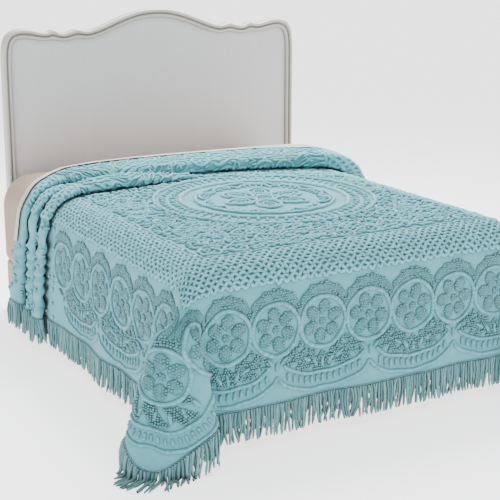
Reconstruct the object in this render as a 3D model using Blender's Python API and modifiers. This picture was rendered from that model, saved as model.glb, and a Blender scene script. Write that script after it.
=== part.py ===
"""Chenille bedspread lying on a double bed with a carved headboard.

Metres, +Z up, the foot of the bed toward -Y.  The cloth is laid out flat in
(u, v): u across the bed from its middle, v from the foot hem to the head edge,
and one drape function carries every flat point to its place on the bed.
"""
import math

import bmesh
import bpy
import numpy as np
from mathutils import Vector

COLLECTION = "chenille_bedspread"

# Bed
BED_W = 1.37
BED_L = 1.88
MATTRESS_Z = (0.25, 0.6445)
MATTRESS_ROUND = 0.135
MATTRESS_PLAN_ROUND = 0.13
MATTRESS_FOOT_ROUND = 0.05
BASE_Z = (0.09, 0.2495)
BASE_INSET = 0.012
BASE_ROUND = 0.02
LEG_R = 0.03
LEG_SPOTS = ((-0.58, 0.12), (0.58, 0.12), (-0.58, 1.76), (0.58, 1.76), (0.0, 0.94))
FIT_GAP = 0.0004

# Cream sheet turned back over the head edge of the bedspread: share of the last tuck's
# depth, distance on, height; then distance behind the tuck, height
SHEET_T = 0.002
SHEET_HALF = 0.92
SHEET_LIFT = 0.008
SHEET_ON_TUCK = ((0.72, 0.0, 0.0625), (1.0, -0.013, 0.0585), (1.0, 0.009, 0.0330))
SHEET_BEHIND = ((0.030, 0.0150), (0.058, 0.0050), (0.092, -0.0006))

# Headboard
HEAD_Y = BED_L + FIT_GAP
HEAD_X = 0.10
HEAD_DEPTH = 0.042
PANEL_SETBACK = 0.014
PANEL_DEPTH = 0.018
FRAME_FACE = 0.038
FRAME_BEVEL = 0.008
HEAD_BOTTOM = 0.32
HEAD_LEG_W = 0.07
HEAD_LEG_D = 0.03
# half outline of the headboard top, from the crown outward: x from the middle, z
HEAD_TOP = (
    (0.0, 1.326), (0.07, 1.321), (0.14, 1.304), (0.20, 1.283), (0.27, 1.256),
    (0.325, 1.240), (0.35, 1.240), (0.385, 1.248), (0.42, 1.239), (0.445, 1.232),
    (0.47, 1.236), (0.50, 1.249), (0.525, 1.239), (0.56, 1.243), (0.61, 1.254),
    (0.655, 1.256), (0.695, 1.245), (0.719, 1.218), (0.731, 1.175), (0.735, 1.12),
)

# Bedspread
SPREAD_W = 2.37
SPREAD_L = 2.89
CLOTH_T = 0.003
TAPE_T = 0.002
TOP_Z = 0.6465
FOOT_OUT = 0.0075
HALF_TOP = 0.6925
FOOT_DROP = 0.497
SIDE_DROP = SPREAD_W / 2 - HALF_TOP
HEM_FLARE = 0.016
# waves of the drops, in and out: height, then (turns per metre in radians, start, share)
WAVE = 0.007
SIDE_WAVES = ((13.0, 0.8, 1.0), (23.0, 1.3, 0.6))
FOOT_WAVES = ((11.0, 0.5, 1.0), (21.0, 2.0, 0.6))
SIDE_WAVE_FADE = 0.30
FOOT_WAVE_FADE = 0.20
FLOOR_GAP = 0.006
FLOOR_SOFT = 0.012
FLOOR_REACH = 0.10
FLOOR_PUSH = 0.8
EDGE_REACH = 0.12
FOLD_REACH = 0.02
BLUR_FADE = (0.13, 0.12)
TABLE_STEP = 0.01

# Corner fold seen from above, as tilt from the vertical in radians (across, along),
# from the side drop round the hanging corner to the foot drop, left corner
CORNER_LOOP = (
    (0.0, 0.0), (-0.03, -0.045), (-0.085, 0.035), (-0.15, 0.065), (-0.20, 0.03),
    (-0.265, 0.075), (-0.305, 0.04), (-0.29, -0.03), (-0.22, -0.10), (-0.12, -0.15),
    (-0.02, -0.175), (0.06, -0.175), (0.085, -0.155), (0.055, -0.115), (0.01, -0.088),
    (0.035, -0.05), (0.012, -0.02), (0.0, 0.0),
)
# The fold stands wider near its top than a plain cone: least share, reach over which it eases
FLAP_WIDTH = (0.60, 0.18, 0.04)
CORNER_ROUND = 0.11

# One tuck of the cloth: share of its depth, distance on, height, place when flattened
TUCK = (
    (0.0, -0.010, 0.0000, 0.00), (0.35, 0.0, 0.0000, 0.09), (1.0, -0.018, 0.0010, 0.18),
    (1.0, 0.000, 0.0070, 0.25), (1.0, -0.018, 0.0135, 0.32), (0.35, 0.0, 0.0150, 0.42),
    (0.0, 0.002, 0.0170, 0.50), (0.0, -0.009, 0.0270, 0.56), (0.0, -0.006, 0.0410, 0.62),
    (0.0, 0.012, 0.0520, 0.70), (0.50, 0.0, 0.0570, 0.80), (1.0, -0.013, 0.0500, 0.90),
    (1.0, 0.005, 0.0240, 1.00),
)
# Front line, depth and folding of the three tucks, and their height, over u
TUCK_U = (-1.185, -0.95, -0.80, -0.72, -0.615, -0.52, -0.36, -0.18, 0.0, 0.24, 0.49, 0.67,
          0.80, 1.185)
TUCK_FRONT = (
    (1.230, 1.215, 1.195, 1.175, 1.170, 1.195, 1.215, 1.235, 1.270, 1.190, 1.110, 1.010,
     0.980, 0.985),
    (1.350, 1.335, 1.310, 1.290, 1.290, 1.310, 1.330, 1.320, 1.310, 1.260, 1.180, 1.080,
     1.050, 1.050),
    (1.470, 1.455, 1.425, 1.395, 1.390, 1.405, 1.395, 1.385, 1.365, 1.325, 1.245, 1.145,
     1.110, 1.110),
)
TUCK_DEPTH = (
    (0.064, 0.058, 0.056, 0.056, 0.066, 0.090, 0.095, 0.065, 0.060, 0.060, 0.060, 0.060,
     0.060, 0.060),
    (0.064, 0.058, 0.056, 0.056, 0.056, 0.060, 0.060, 0.060, 0.060, 0.060, 0.060, 0.060,
     0.060, 0.060),
    (0.105, 0.085, 0.080, 0.085, 0.110, 0.155, 0.190, 0.205, 0.225, 0.240, 0.270, 0.290,
     0.270, 0.260),
)
TUCK_FOLDED = (
    (1.0, 1.0, 1.0, 1.0, 1.0, 1.0, 1.0, 0.55, 0.12, 0.0, 0.0, 0.0, 0.0, 0.0),
    (1.0, 1.0, 1.0, 0.8, 0.45, 0.1, 0.0, 0.0, 0.0, 0.0, 0.0, 0.0, 0.0, 0.0),
    (1.0, 1.0, 1.0, 1.0, 1.0, 1.0, 1.0, 1.0, 1.0, 1.0, 1.0, 1.0, 1.0, 1.0),
)
TUCK_HEIGHT = (0.9, 0.7, 0.55, 0.5, 0.6, 0.9, 1.1, 1.15, 1.15, 1.2, 1.35, 1.7, 1.7, 1.2)
TUCK_LAYERS = 0.017
PLAIN_END = 0.075
# last of the cloth behind the tucks: distance on, height
HEAD_TAIL = ((0.023, 0.006), (0.045, 0.0))
TUCK_GAP = 0.008
TUCK_EASE = 0.7

# Fringe
FRINGE_DROP = 0.11
TAPE_H = 0.010
TAPE_GAP = 0.0005
CORNER_GAP = 0.0009
STRAND_W = 0.0055
STRAND_TIP = 0.62
FLOOR_STRAND_Z = 0.004
END_GAP = 0.008
TURN_ROOM = 0.006
TURN_LEAST = 0.93
# lean of the strands: along the hem (share, rate), and out from it
SWAYS = ((0.12, 2.4, 0.0), (0.07, 0.9, 1.0))
SWAY_OUT = (0.05, 1.7)
FLOOR_SWAY = 0.08
HEM_STEP = 0.012
STRANDS_FOOT = 38
STRANDS_SIDE = 30
STRANDS_HEAD = 18
STRANDS_CORNER = 24

SPREAD_COLOUR = (0.305, 0.545, 0.555, 1.0)
FRINGE_COLOUR = (0.290, 0.520, 0.530, 1.0)
LINEN_COLOUR = (0.72, 0.655, 0.60, 1.0)
BASE_COLOUR = (0.60, 0.52, 0.47, 1.0)
FRAME_COLOUR = (0.80, 0.785, 0.76, 1.0)
PANEL_COLOUR = (0.66, 0.65, 0.65, 1.0)
LEG_COLOUR = (0.12, 0.09, 0.07, 1.0)


def smoothstep(x):
    x = np.clip(x, 0.0, 1.0)
    return x * x * (3.0 - 2.0 * x)


def smooth_path(points, steps):
    """Points along a Catmull-Rom curve through the given ones."""
    p = np.asarray(points, float)
    ext = np.vstack([2 * p[0] - p[1], p, 2 * p[-1] - p[-2]])
    out = []
    for i in range(1, len(ext) - 2):
        for k in range(steps):
            t = k / steps
            a, b, c, d = ext[i - 1], ext[i], ext[i + 1], ext[i + 2]
            out.append(0.5 * (2 * b + (c - a) * t + (2 * a - 5 * b + 4 * c - d) * t * t
                              + (3 * b - 3 * c + d - a) * t ** 3))
    out.append(p[-1])
    return np.array(out)


def corner_rays():
    """Unit directions round the corner fold, scaled until they span a right angle."""
    flat = smooth_path(CORNER_LOOP, 12)

    def rays(scale):
        tilt = np.hypot(flat[:, 0], flat[:, 1]) * scale
        turn = np.arctan2(flat[:, 1], flat[:, 0])
        return np.stack([np.sin(tilt) * np.cos(turn), np.sin(tilt) * np.sin(turn), -np.cos(tilt)], 1)

    low, high = 0.5, 2.5
    for _ in range(40):
        mid = (low + high) / 2
        d = rays(mid)
        span = np.arccos(np.clip(np.sum(d[1:] * d[:-1], axis=1), -1.0, 1.0)).sum()
        low, high = (mid, high) if span < math.pi / 2 else (low, mid)
    d = rays(low)
    step = np.arccos(np.clip(np.sum(d[1:] * d[:-1], axis=1), -1.0, 1.0))
    angle = np.concatenate([[0.0], np.cumsum(step)])
    return angle * (math.pi / 2 / angle[-1]), d


def rounded(field, step, reach):
    """Average a grid of places over the reach each way, straight on past its edges."""
    n_reach = int(round(reach / step))
    for axis in (0, 1):
        f = np.moveaxis(field, axis, 0)
        n = f.shape[0]
        out = np.arange(1, n_reach + 1)[:, None, None]
        first = (f[0] - (f[1] - f[0]) * out)[::-1]
        last = f[-1] + (f[-1] - f[-2]) * out
        padded = np.concatenate([first, f, last])
        f = sum(padded[i:i + n] for i in range(2 * n_reach + 1)) / (2 * n_reach + 1)
        field = np.moveaxis(f, 0, axis)
    return field


class Drape:
    """Where each flat point of the bedspread comes to lie."""

    def __init__(self):
        self.us = np.arange(-SPREAD_W / 2, SPREAD_W / 2 + TABLE_STEP / 2, TABLE_STEP)
        self.ws = np.arange(-FOOT_DROP, BED_L + 0.3, TABLE_STEP)
        u, w = np.meshgrid(self.us, self.ws, indexing="ij")
        sharp = self.sharp(u, w)
        soft = rounded(sharp, TABLE_STEP, EDGE_REACH)
        crisp = rounded(sharp, TABLE_STEP, FOLD_REACH)
        depth = np.hypot(np.maximum(np.abs(u) - HALF_TOP, 0.0), np.maximum(-w, 0.0))
        keep = smoothstep((depth - BLUR_FADE[0]) / BLUR_FADE[1])[..., None]
        self.table = self.on_floor(soft * (1 - keep) + crisp * keep)
        du = np.gradient(self.table, axis=0)
        dw = np.gradient(self.table, axis=1)
        n = np.cross(du, dw)
        self.normals = n / np.linalg.norm(n, axis=2, keepdims=True)

    def round_corner(self, q, f):
        """Draw the square corner of the cloth in to its rounded cut."""
        turn = np.arctan2(np.maximum(f, 0.0) / FOOT_DROP, np.maximum(q, 1e-9) / SIDE_DROP)
        a = np.minimum(turn, math.pi / 2 - turn)
        straight = (SIDE_DROP - CORNER_ROUND) / SIDE_DROP
        lean = np.tan(a)
        r = 1.0 - straight
        # where the ray (1, lean) meets the corner circle of the unit square
        m = 1.0 + lean * lean
        b = straight * (1.0 + lean)
        c = 2.0 * straight * straight - r * r
        hit = (b + np.sqrt(np.maximum(b * b - m * c, 0.0))) / m
        hit = np.where(lean > straight, np.minimum(hit, 1.0), 1.0)
        reach = np.maximum(q / SIDE_DROP, f / FOOT_DROP)
        inside = (q > 0) & (f > 0)
        scale = np.where(inside, 1.0 - (1.0 - hit) * np.clip(reach, 0.0, 1.0) ** 3, 1.0)
        return q * scale, f * scale

    def sharp(self, u, w):
        """The cloth over a bed with sharp edges: level top, upright drops, coned corners."""
        side = np.sign(u)
        q = np.abs(u) - HALF_TOP
        f = -w
        place = np.stack([np.clip(u, -HALF_TOP, HALF_TOP), np.maximum(w, 0.0), np.zeros_like(u)], 2)
        wave_s = sum(high * np.sin(w * rate + side * start) for rate, start, high in SIDE_WAVES)
        out_s = ((HEM_FLARE + WAVE * wave_s) * smoothstep(q / SIDE_DROP)
                 * smoothstep(w / SIDE_WAVE_FADE))
        wave_f = sum(high * np.sin(u * rate + start) for rate, start, high in FOOT_WAVES)
        out_f = ((HEM_FLARE + WAVE * wave_f) * smoothstep(f / FOOT_DROP)
                 * smoothstep((HALF_TOP - np.abs(u)) / FOOT_WAVE_FADE))
        on_side = (q > 0) & (f <= 0)
        place[..., 0] += np.where(on_side, side * out_s, 0.0)
        place[..., 2] -= np.where(on_side, q, 0.0)
        on_foot = (q <= 0) & (f > 0)
        place[..., 1] -= np.where(on_foot, out_f, 0.0)
        place[..., 2] -= np.where(on_foot, f, 0.0)
        corner = (q > 0) & (f > 0)
        angle, rays = corner_rays()
        q, f = self.round_corner(q, f)
        turn = np.arctan2(np.maximum(f, 0.0), np.maximum(q, 1e-9))
        reach = np.hypot(q, f)
        least, ease, start = FLAP_WIDTH
        for k in range(3):
            ray = np.interp(turn, angle, rays[:, k])
            if k < 2:
                ray = ray * (least + ease / (reach + start))
            base = (HALF_TOP * side, 0.0, 0.0)[k]
            flip = -side if k == 0 else 1.0
            place[..., k] = np.where(corner, base + flip * ray * reach, place[..., k])
        place[..., 2] += TOP_Z
        return place

    def on_floor(self, field):
        """Turn outward what would pass through the floor."""
        low = FLOOR_GAP + CLOTH_T / 2
        z = field[..., 2]
        near = z < low + FLOOR_REACH
        lifted = low + FLOOR_SOFT * np.log1p(np.exp(np.clip((z - low) / FLOOR_SOFT, -60, 60)))
        push = np.where(near, lifted - z, 0.0)
        axis = np.stack([np.clip(field[..., 0], -HALF_TOP, HALF_TOP), np.zeros_like(z)], 2)
        out = field[..., :2] - axis
        out /= np.maximum(np.linalg.norm(out, axis=2, keepdims=True), 1e-6)
        field = field.copy()
        field[..., :2] += out * push[..., None] * FLOOR_PUSH
        field[..., 2] = np.where(near, lifted, z)
        return field

    def look(self, table, u, w):
        """Read a table between its grid points."""
        a = np.clip((np.asarray(u, float) - self.us[0]) / TABLE_STEP, 0, len(self.us) - 1.001)
        b = np.clip((np.asarray(w, float) - self.ws[0]) / TABLE_STEP, 0, len(self.ws) - 1.001)
        i, j = a.astype(int), b.astype(int)
        s, t = (a - i)[..., None], (b - j)[..., None]
        return ((table[i, j] * (1 - s) + table[i + 1, j] * s) * (1 - t)
                + (table[i, j + 1] * (1 - s) + table[i + 1, j + 1] * s) * t)

    def base(self, u, w, h=0.0):
        """Places at the flat points, a height h off the cloth's resting surface."""
        n = self.look(self.normals, u, w)
        n /= np.linalg.norm(n, axis=-1, keepdims=True)
        return self.look(self.table, u, w) + n * np.asarray(h)[..., None]


def tuck_section(u):
    """Places along the bed and heights of the cloth through the three tucks at u."""
    ys, hs = [], []
    fronts = [np.interp(u, TUCK_U, row) for row in TUCK_FRONT]
    depths = [np.interp(u, TUCK_U, row) for row in TUCK_DEPTH]
    folded = [np.interp(u, TUCK_U, row) for row in TUCK_FOLDED]
    height = np.interp(u, TUCK_U, TUCK_HEIGHT)
    for k, (front, depth, amount) in enumerate(zip(fronts, depths, folded)):
        stop = fronts[k + 1] + TUCK[0][1] if k < 2 else front + depth
        zone = stop - TUCK_GAP - front
        for share, on, high, flat in TUCK:
            ys.append(front + amount * (share * depth + on) + (1 - amount) * flat * zone)
            hs.append(amount ** TUCK_EASE * (high + max(high - TUCK_LAYERS, 0.0) * (height - 1.0)))
    for along, high in HEAD_TAIL:
        ys.append(fronts[2] + depths[2] + along)
        hs.append(high)
    return np.array(ys), np.array(hs)


def node(name, mesh, colour, rough, smooth=True):
    """One named piece with a finish of its own."""
    material = bpy.data.materials.new(name + "_finish")
    material.use_nodes = True
    shader = material.node_tree.nodes["Principled BSDF"]
    shader.inputs["Base Color"].default_value = colour
    shader.inputs["Roughness"].default_value = rough
    shader.inputs["Metallic"].default_value = 0.0
    material.diffuse_color = colour
    mesh.materials.append(material)
    if smooth:
        mesh.shade_smooth()
    else:
        mesh.shade_flat()
    thing = bpy.data.objects.new(name, mesh)
    bpy.data.collections[COLLECTION].objects.link(thing)
    return thing


def bm_node(name, bm, colour, rough, smooth=True):
    bmesh.ops.recalc_face_normals(bm, faces=bm.faces)
    mesh = bpy.data.meshes.new(name)
    bm.to_mesh(mesh)
    bm.free()
    return node(name, mesh, colour, rough, smooth)


def sheet_grid(places):
    """A grid of quads through the places, an array of rows by columns by 3."""
    rows, cols = places.shape[:2]
    bm = bmesh.new()
    bmesh.ops.create_grid(bm, x_segments=cols - 1, y_segments=rows - 1, size=1.0)
    for v in bm.verts:
        i = round((v.co.y + 1) / 2 * (rows - 1))
        j = round((v.co.x + 1) / 2 * (cols - 1))
        v.co = Vector(places[i, j])
    return bm


def cloth_node(name, places, thick, colour, rough):
    """A grid of cloth, thickened evenly to both sides."""
    bm = sheet_grid(places)
    mesh = bpy.data.meshes.new(name)
    bm.to_mesh(mesh)
    bm.free()
    solid = node(name, mesh, colour, rough).modifiers.new("cloth", "SOLIDIFY")
    solid.thickness = thick
    solid.offset = 0.0
    solid.use_even_offset = False


def flat_columns():
    """Where the cloth's grid lines lie across the bed, closer over the edges."""
    top = [0.0, 0.19, 0.38]
    edge = [0.57, 0.62, 0.665, 0.71, 0.755]
    drop = [0.80, 0.855, 0.91, 0.965, 1.02, 1.075, 1.13, SPREAD_W / 2]
    half = top[1:] + edge + drop
    return np.array([-x for x in reversed(half)] + [0.0] + half)


def flat_rows():
    """Where they lie along it, from the foot hem to the flat part of the top."""
    drop = [-FOOT_DROP, -0.445, -0.39, -0.335, -0.28, -0.225, -0.17, -0.115]
    edge = [-0.065, -0.03, 0.0, 0.04]
    top = [0.08, 0.125, 0.28, 0.44, 0.61, 0.78]
    return np.array(drop + edge + top)


def spread_places(drape, columns):
    rows = []
    plain = flat_rows()
    for u in columns:
        ys, hs = tuck_section(u)
        start = ys[0] - PLAIN_END
        last = plain[-1]
        w = np.concatenate([plain, [last + (start - last) * 0.5, start], ys])
        h = np.concatenate([np.zeros(len(plain) + 2), hs])
        rows.append(drape.base(np.full(len(w), u), w, h))
    return np.array(rows).transpose(1, 0, 2)


def build_spread(drape):
    places = spread_places(drape, flat_columns())
    cloth_node("bedspread", places, CLOTH_T, SPREAD_COLOUR, 0.9)


def build_top_sheet(drape):
    """The sheet's turned-back edge over the last tuck, its tail down behind."""
    columns = flat_columns()
    columns = columns[np.abs(columns) < SHEET_HALF + 0.01]
    rows = []
    for u in columns:
        front = np.interp(u, TUCK_U, TUCK_FRONT[2])
        depth = np.interp(u, TUCK_U, TUCK_DEPTH[2])
        height = np.interp(u, TUCK_U, TUCK_HEIGHT)
        ys = [front + depth * share + on for share, on, _ in SHEET_ON_TUCK]
        ys += [front + depth + behind for behind, _ in SHEET_BEHIND]
        hs = [h + max(h - SHEET_LIFT - TUCK_LAYERS, 0.0) * (height - 1.0)
              for _, _, h in SHEET_ON_TUCK]
        hs += [h for _, h in SHEET_BEHIND]
        rows.append(drape.base(np.full(len(ys), u), np.array(ys), np.array(hs)))
    cloth_node("top_sheet", np.array(rows).transpose(1, 0, 2), SHEET_T, LINEN_COLOUR, 0.85)


def fringe(name, hem, down, out, strands, segments=1, on_floor=False, sway=1.0,
           gap=TAPE_GAP):
    """A tape along the hem with a row of strands on its lower edge."""
    s = np.concatenate([[0.0], np.cumsum(np.linalg.norm(np.diff(hem, axis=0), axis=1))])
    total = s[-1]
    pitch = total / strands
    starts = (np.arange(strands) + 0.5) * pitch - STRAND_W / 2

    def place(x):
        return np.array([np.interp(x, s, hem[:, k]) for k in range(3)])

    # no strand where the tape turns sharply
    starts = np.array([x for x in starts if np.linalg.norm(
        place(x + STRAND_W + TURN_ROOM) - place(x - TURN_ROOM))
        > (STRAND_W + 2 * TURN_ROOM) * TURN_LEAST])
    corners = [x for x in s if np.all(np.abs(x - starts - STRAND_W / 2) > STRAND_W * 0.75)]
    stations = np.unique(np.concatenate([starts, starts + STRAND_W, corners]))
    rooted = np.array([np.min(np.abs(starts - x)) < 1e-9 for x in stations[:-1]])

    def at(values):
        return np.stack([np.interp(stations, s, values[:, k]) for k in range(3)], 1)

    top, dn, no = at(hem), at(down), at(out)
    dn /= np.linalg.norm(dn, axis=1, keepdims=True)
    upper = top + dn * gap
    lower = top + dn * (gap + TAPE_H)
    bm = sheet_grid(np.stack([lower, upper]))
    bmesh.ops.recalc_face_normals(bm, faces=bm.faces)
    bmesh.ops.solidify(bm, geom=bm.faces[:], thickness=TAPE_T)
    bottoms = []
    for f in bm.faces:
        c = np.array(f.calc_center_median())
        k = int(np.argmin(np.linalg.norm((lower[1:] + lower[:-1]) / 2 - c, axis=1)))
        if rooted[k] and np.dot(np.array(f.normal), dn[k]) > 0.7:
            near = np.array([v.co for v in f.verts])
            if np.all(np.linalg.norm(near - lower[k], axis=1) < 2 * STRAND_W + 0.01):
                bottoms.append((f, k))
    done = bmesh.ops.extrude_discrete_faces(bm, faces=[f for f, _ in bottoms])["faces"]
    ks = [k for _, k in bottoms]
    for step in range(segments):
        if step:
            done = bmesh.ops.extrude_discrete_faces(bm, faces=done)["faces"]
        for f, k in zip(done, ks):
            strand_step(f, dn[k], no[k], k, segments, on_floor, sway)
    return bm_node(name, bm, FRINGE_COLOUR, 0.9)


def strand_step(face, down, out, k, segments, on_floor, loose):
    """Move one strand's end face on by one step of its length."""
    verts = list(face.verts)
    centre = sum((v.co for v in verts), Vector()) / len(verts)
    share = FRINGE_DROP / segments
    sway = loose * sum(high * math.sin(k * rate + start) for high, rate, start in SWAYS)
    side = Vector(np.cross(down, out))
    move = Vector(down) + side * sway + Vector(out) * (SWAY_OUT[0] * loose * math.sin(k * SWAY_OUT[1]))
    move.normalize()
    move *= share
    if on_floor:
        move.z = max(move.z, FLOOR_STRAND_Z - centre.z)
        flat = math.sqrt(max(share * share - move.z * move.z, 0.0))
        way = Vector((out[0], out[1], 0.0)).normalized() + side * sway
        way.z = 0.0
        if flat > Vector((move.x, move.y, 0.0)).length:
            way = way.normalized() * flat
            move.x, move.y = way.x, way.y
    shrink = STRAND_TIP ** (1.0 / segments)
    target = centre + move
    for v in verts:
        v.co = target + (v.co - centre) * shrink


def hem_line(drape, us, ws, inward_u, inward_w, hs=None):
    """Hem places with the way down and the way out, from flat points on the hem."""
    hs = np.zeros(len(us)) if hs is None else hs
    here = drape.base(us, ws, hs)
    above = drape.base(us + inward_u * HEM_STEP, ws + inward_w * HEM_STEP, hs)
    down = here - above
    down /= np.linalg.norm(down, axis=1, keepdims=True)
    out = drape.look(drape.normals, us, ws)
    return here, down, out


def build_fringes(drape):
    half = SPREAD_W / 2
    columns, rows = flat_columns(), flat_rows()
    foot_u = np.concatenate([[-HALF_TOP + END_GAP], columns[np.abs(columns) < HALF_TOP - 0.01],
                             [HALF_TOP - END_GAP]])
    hem = hem_line(drape, foot_u, np.full(len(foot_u), -FOOT_DROP), 0.0, 1.0)
    fringe("fringe_foot", *hem, STRANDS_FOOT)
    for side, tag in ((-1, "left"), (1, "right")):
        us, ys, hs = side * half, *tuck_section(side * half)
        last = ys[0] - PLAIN_END
        ws = np.concatenate([[END_GAP], rows[rows > 0.02], [(rows[-1] + last) / 2, last - END_GAP]])
        hem = hem_line(drape, np.full(len(ws), us), ws, -side, 0.0)
        fringe("fringe_" + tag, *hem, STRANDS_SIDE)
        ws = np.concatenate([[last + END_GAP], ys])
        hem = hem_line(drape, np.full(len(ws), us), ws, -side, 0.0, np.concatenate([[0.0], hs]))
        fringe("fringe_head_" + tag, *hem, STRANDS_HEAD, sway=0.0)
        q = np.abs(columns[columns > HALF_TOP + 0.02]) - HALF_TOP
        f = -rows[rows < -0.02]
        across = np.concatenate([np.full(len(f) + 1, SIDE_DROP), q[::-1][1:], [END_GAP]])
        along = np.concatenate([[END_GAP], f[::-1], np.full(len(q), FOOT_DROP)])
        here = drape.base(side * (HALF_TOP + across), -along)
        inner = drape.base(side * (HALF_TOP + across * 0.94), -along * 0.94)
        down = here - inner
        down /= np.linalg.norm(down, axis=1, keepdims=True)
        axis = np.array([side * HALF_TOP, 0.0, 0.0])
        out = (here - axis) * (1.0, 1.0, 0.0)
        out /= np.maximum(np.linalg.norm(out, axis=1, keepdims=True), 1e-6)
        fringe("fringe_corner_" + tag, here, down, out, STRANDS_CORNER, segments=3, on_floor=True,
               sway=FLOOR_SWAY, gap=CORNER_GAP)


def soft_box(name, low, high, round_edge, colour, rough, plan_round=0.0, foot_round=0.0,
             segments=3):
    """A box with rounded edges, and rounded upright and lower edges where given."""
    bm = bmesh.new()
    bmesh.ops.create_cube(bm, size=1.0)
    low, high = Vector(low), Vector(high)
    for v in bm.verts:
        v.co = Vector(low[k] if v.co[k] < 0 else high[k] for k in range(3))
    if plan_round:
        upright = [e for e in bm.edges if abs(e.verts[0].co.z - e.verts[1].co.z) > 1e-6]
        bmesh.ops.bevel(bm, geom=upright, offset=plan_round, segments=4, profile=0.5,
                        affect="EDGES", material=-1)
    level = [e for e in bm.edges if abs(e.verts[0].co.z - e.verts[1].co.z) < 1e-6]
    if not plan_round:
        level = bm.edges[:]
    if foot_round:
        lower = [e for e in level if e.verts[0].co.z < (low.z + high.z) / 2]
        level = [e for e in level if e not in lower]
        bmesh.ops.bevel(bm, geom=lower, offset=foot_round, segments=2, profile=0.5,
                        affect="EDGES", material=-1)
        level = [e for e in level if e.is_valid]
    bmesh.ops.bevel(bm, geom=level, offset=round_edge, segments=segments, profile=0.5,
                    affect="EDGES", material=-1)
    return bm_node(name, bm, colour, rough)


def head_outline(inset):
    """Closed outline of the headboard, clockwise, drawn in by inset all round."""
    right = [Vector((x, z)) for x, z in HEAD_TOP] + [Vector((HEAD_TOP[-1][0], HEAD_BOTTOM))]
    left = [Vector((-p.x, p.y)) for p in reversed(right[1:])]
    ring = left + right
    out = []
    for i, p in enumerate(ring):
        a = (p - ring[i - 1]).normalized()
        b = (ring[(i + 1) % len(ring)] - p).normalized()
        na, nb = Vector((a.y, -a.x)), Vector((b.y, -b.x))
        m = (na + nb).normalized()
        out.append(p + m * (inset / max(m.dot(na), 0.5)))
    return out


def ring_edges(bm, outline, y):
    verts = [bm.verts.new((HEAD_X + p.x, y, p.y)) for p in outline]
    return [bm.edges.new((verts[i], verts[(i + 1) % len(verts)])) for i in range(len(verts))]


def build_headboard():
    bm = bmesh.new()
    outer = ring_edges(bm, head_outline(0.0), HEAD_Y)
    inner = ring_edges(bm, head_outline(FRAME_FACE), HEAD_Y)
    bmesh.ops.bridge_loops(bm, edges=outer + inner)
    front = bm.faces[:]
    back = bmesh.ops.extrude_face_region(bm, geom=front, use_keep_orig=True)["geom"]
    bmesh.ops.translate(bm, verts=[v for v in back if isinstance(v, bmesh.types.BMVert)],
                        vec=(0.0, HEAD_DEPTH, 0.0))
    rim = [e for e in bm.edges if len(e.link_faces) == 2
           and all(abs(v.co.y - HEAD_Y) < 1e-6 for v in e.verts)
           and e.calc_face_angle(0.0) > 1.0]
    bmesh.ops.bevel(bm, geom=rim, offset=FRAME_BEVEL, segments=2, profile=0.5, affect="EDGES",
                    material=-1)
    bm_node("headboard_frame", bm, FRAME_COLOUR, 0.45, smooth=False)

    bm = bmesh.new()
    edges = ring_edges(bm, head_outline(FRAME_FACE + FIT_GAP), HEAD_Y + PANEL_SETBACK)
    bmesh.ops.contextual_create(bm, geom=edges)
    faces = bm.faces[:]
    back = bmesh.ops.extrude_face_region(bm, geom=faces, use_keep_orig=True)["geom"]
    bmesh.ops.translate(bm, verts=[v for v in back if isinstance(v, bmesh.types.BMVert)],
                        vec=(0.0, PANEL_DEPTH, 0.0))
    bm_node("headboard_panel", bm, PANEL_COLOUR, 0.5, smooth=False)

    half = HEAD_TOP[-1][0]
    for side, tag in ((-1, "left"), (1, "right")):
        x0 = HEAD_X + side * (half - HEAD_LEG_W / 2 - 0.003)
        y0 = HEAD_Y + 0.006
        soft_box("headboard_leg_" + tag, (x0 - HEAD_LEG_W / 2, y0, 0.0),
                 (x0 + HEAD_LEG_W / 2, y0 + HEAD_LEG_D, HEAD_BOTTOM - FIT_GAP), 0.004,
                 FRAME_COLOUR, 0.45, segments=1)


def build_bed():
    half = BED_W / 2
    soft_box("mattress", (-half, FOOT_OUT, MATTRESS_Z[0]), (half, BED_L, MATTRESS_Z[1]),
             MATTRESS_ROUND, LINEN_COLOUR, 0.85, plan_round=MATTRESS_PLAN_ROUND,
             foot_round=MATTRESS_FOOT_ROUND, segments=4)
    soft_box("bed_base", (-half + BASE_INSET, BASE_INSET, BASE_Z[0]),
             (half - BASE_INSET, BED_L - BASE_INSET, BASE_Z[1]), BASE_ROUND, BASE_COLOUR, 0.85)
    for k, (x, y) in enumerate(LEG_SPOTS):
        bm = bmesh.new()
        bmesh.ops.create_cone(bm, cap_ends=True, segments=12, radius1=LEG_R * 0.8, radius2=LEG_R,
                              depth=BASE_Z[0] - FIT_GAP)
        bmesh.ops.translate(bm, verts=bm.verts, vec=(x, y, (BASE_Z[0] - FIT_GAP) / 2))
        bm_node("bed_leg_%d" % (k + 1), bm, LEG_COLOUR, 0.5)


def centre_on_floor():
    """Move every piece so the middle of the whole footprint is the origin."""
    graph = bpy.context.evaluated_depsgraph_get()
    low, high = Vector((1e9,) * 3), Vector((-1e9,) * 3)
    for thing in bpy.data.collections[COLLECTION].objects:
        mesh = thing.evaluated_get(graph).to_mesh()
        for v in mesh.vertices:
            for k in range(3):
                low[k], high[k] = min(low[k], v.co[k]), max(high[k], v.co[k])
    shift = Vector((-(low.x + high.x) / 2, -(low.y + high.y) / 2, -low.z))
    for thing in bpy.data.collections[COLLECTION].objects:
        for v in thing.data.vertices:
            v.co += shift


def main():
    for thing in list(bpy.data.objects):
        bpy.data.objects.remove(thing, do_unlink=True)
    home = bpy.data.collections.new(COLLECTION)
    bpy.context.scene.collection.children.link(home)
    drape = Drape()
    build_bed()
    build_headboard()
    build_spread(drape)
    build_top_sheet(drape)
    build_fringes(drape)
    centre_on_floor()


main()
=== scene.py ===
"""Chenille bedspread on a double bed with a moulded headboard, dressed for a studio picture."""
import logging
import math
from dataclasses import dataclass, field
from enum import Enum

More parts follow.
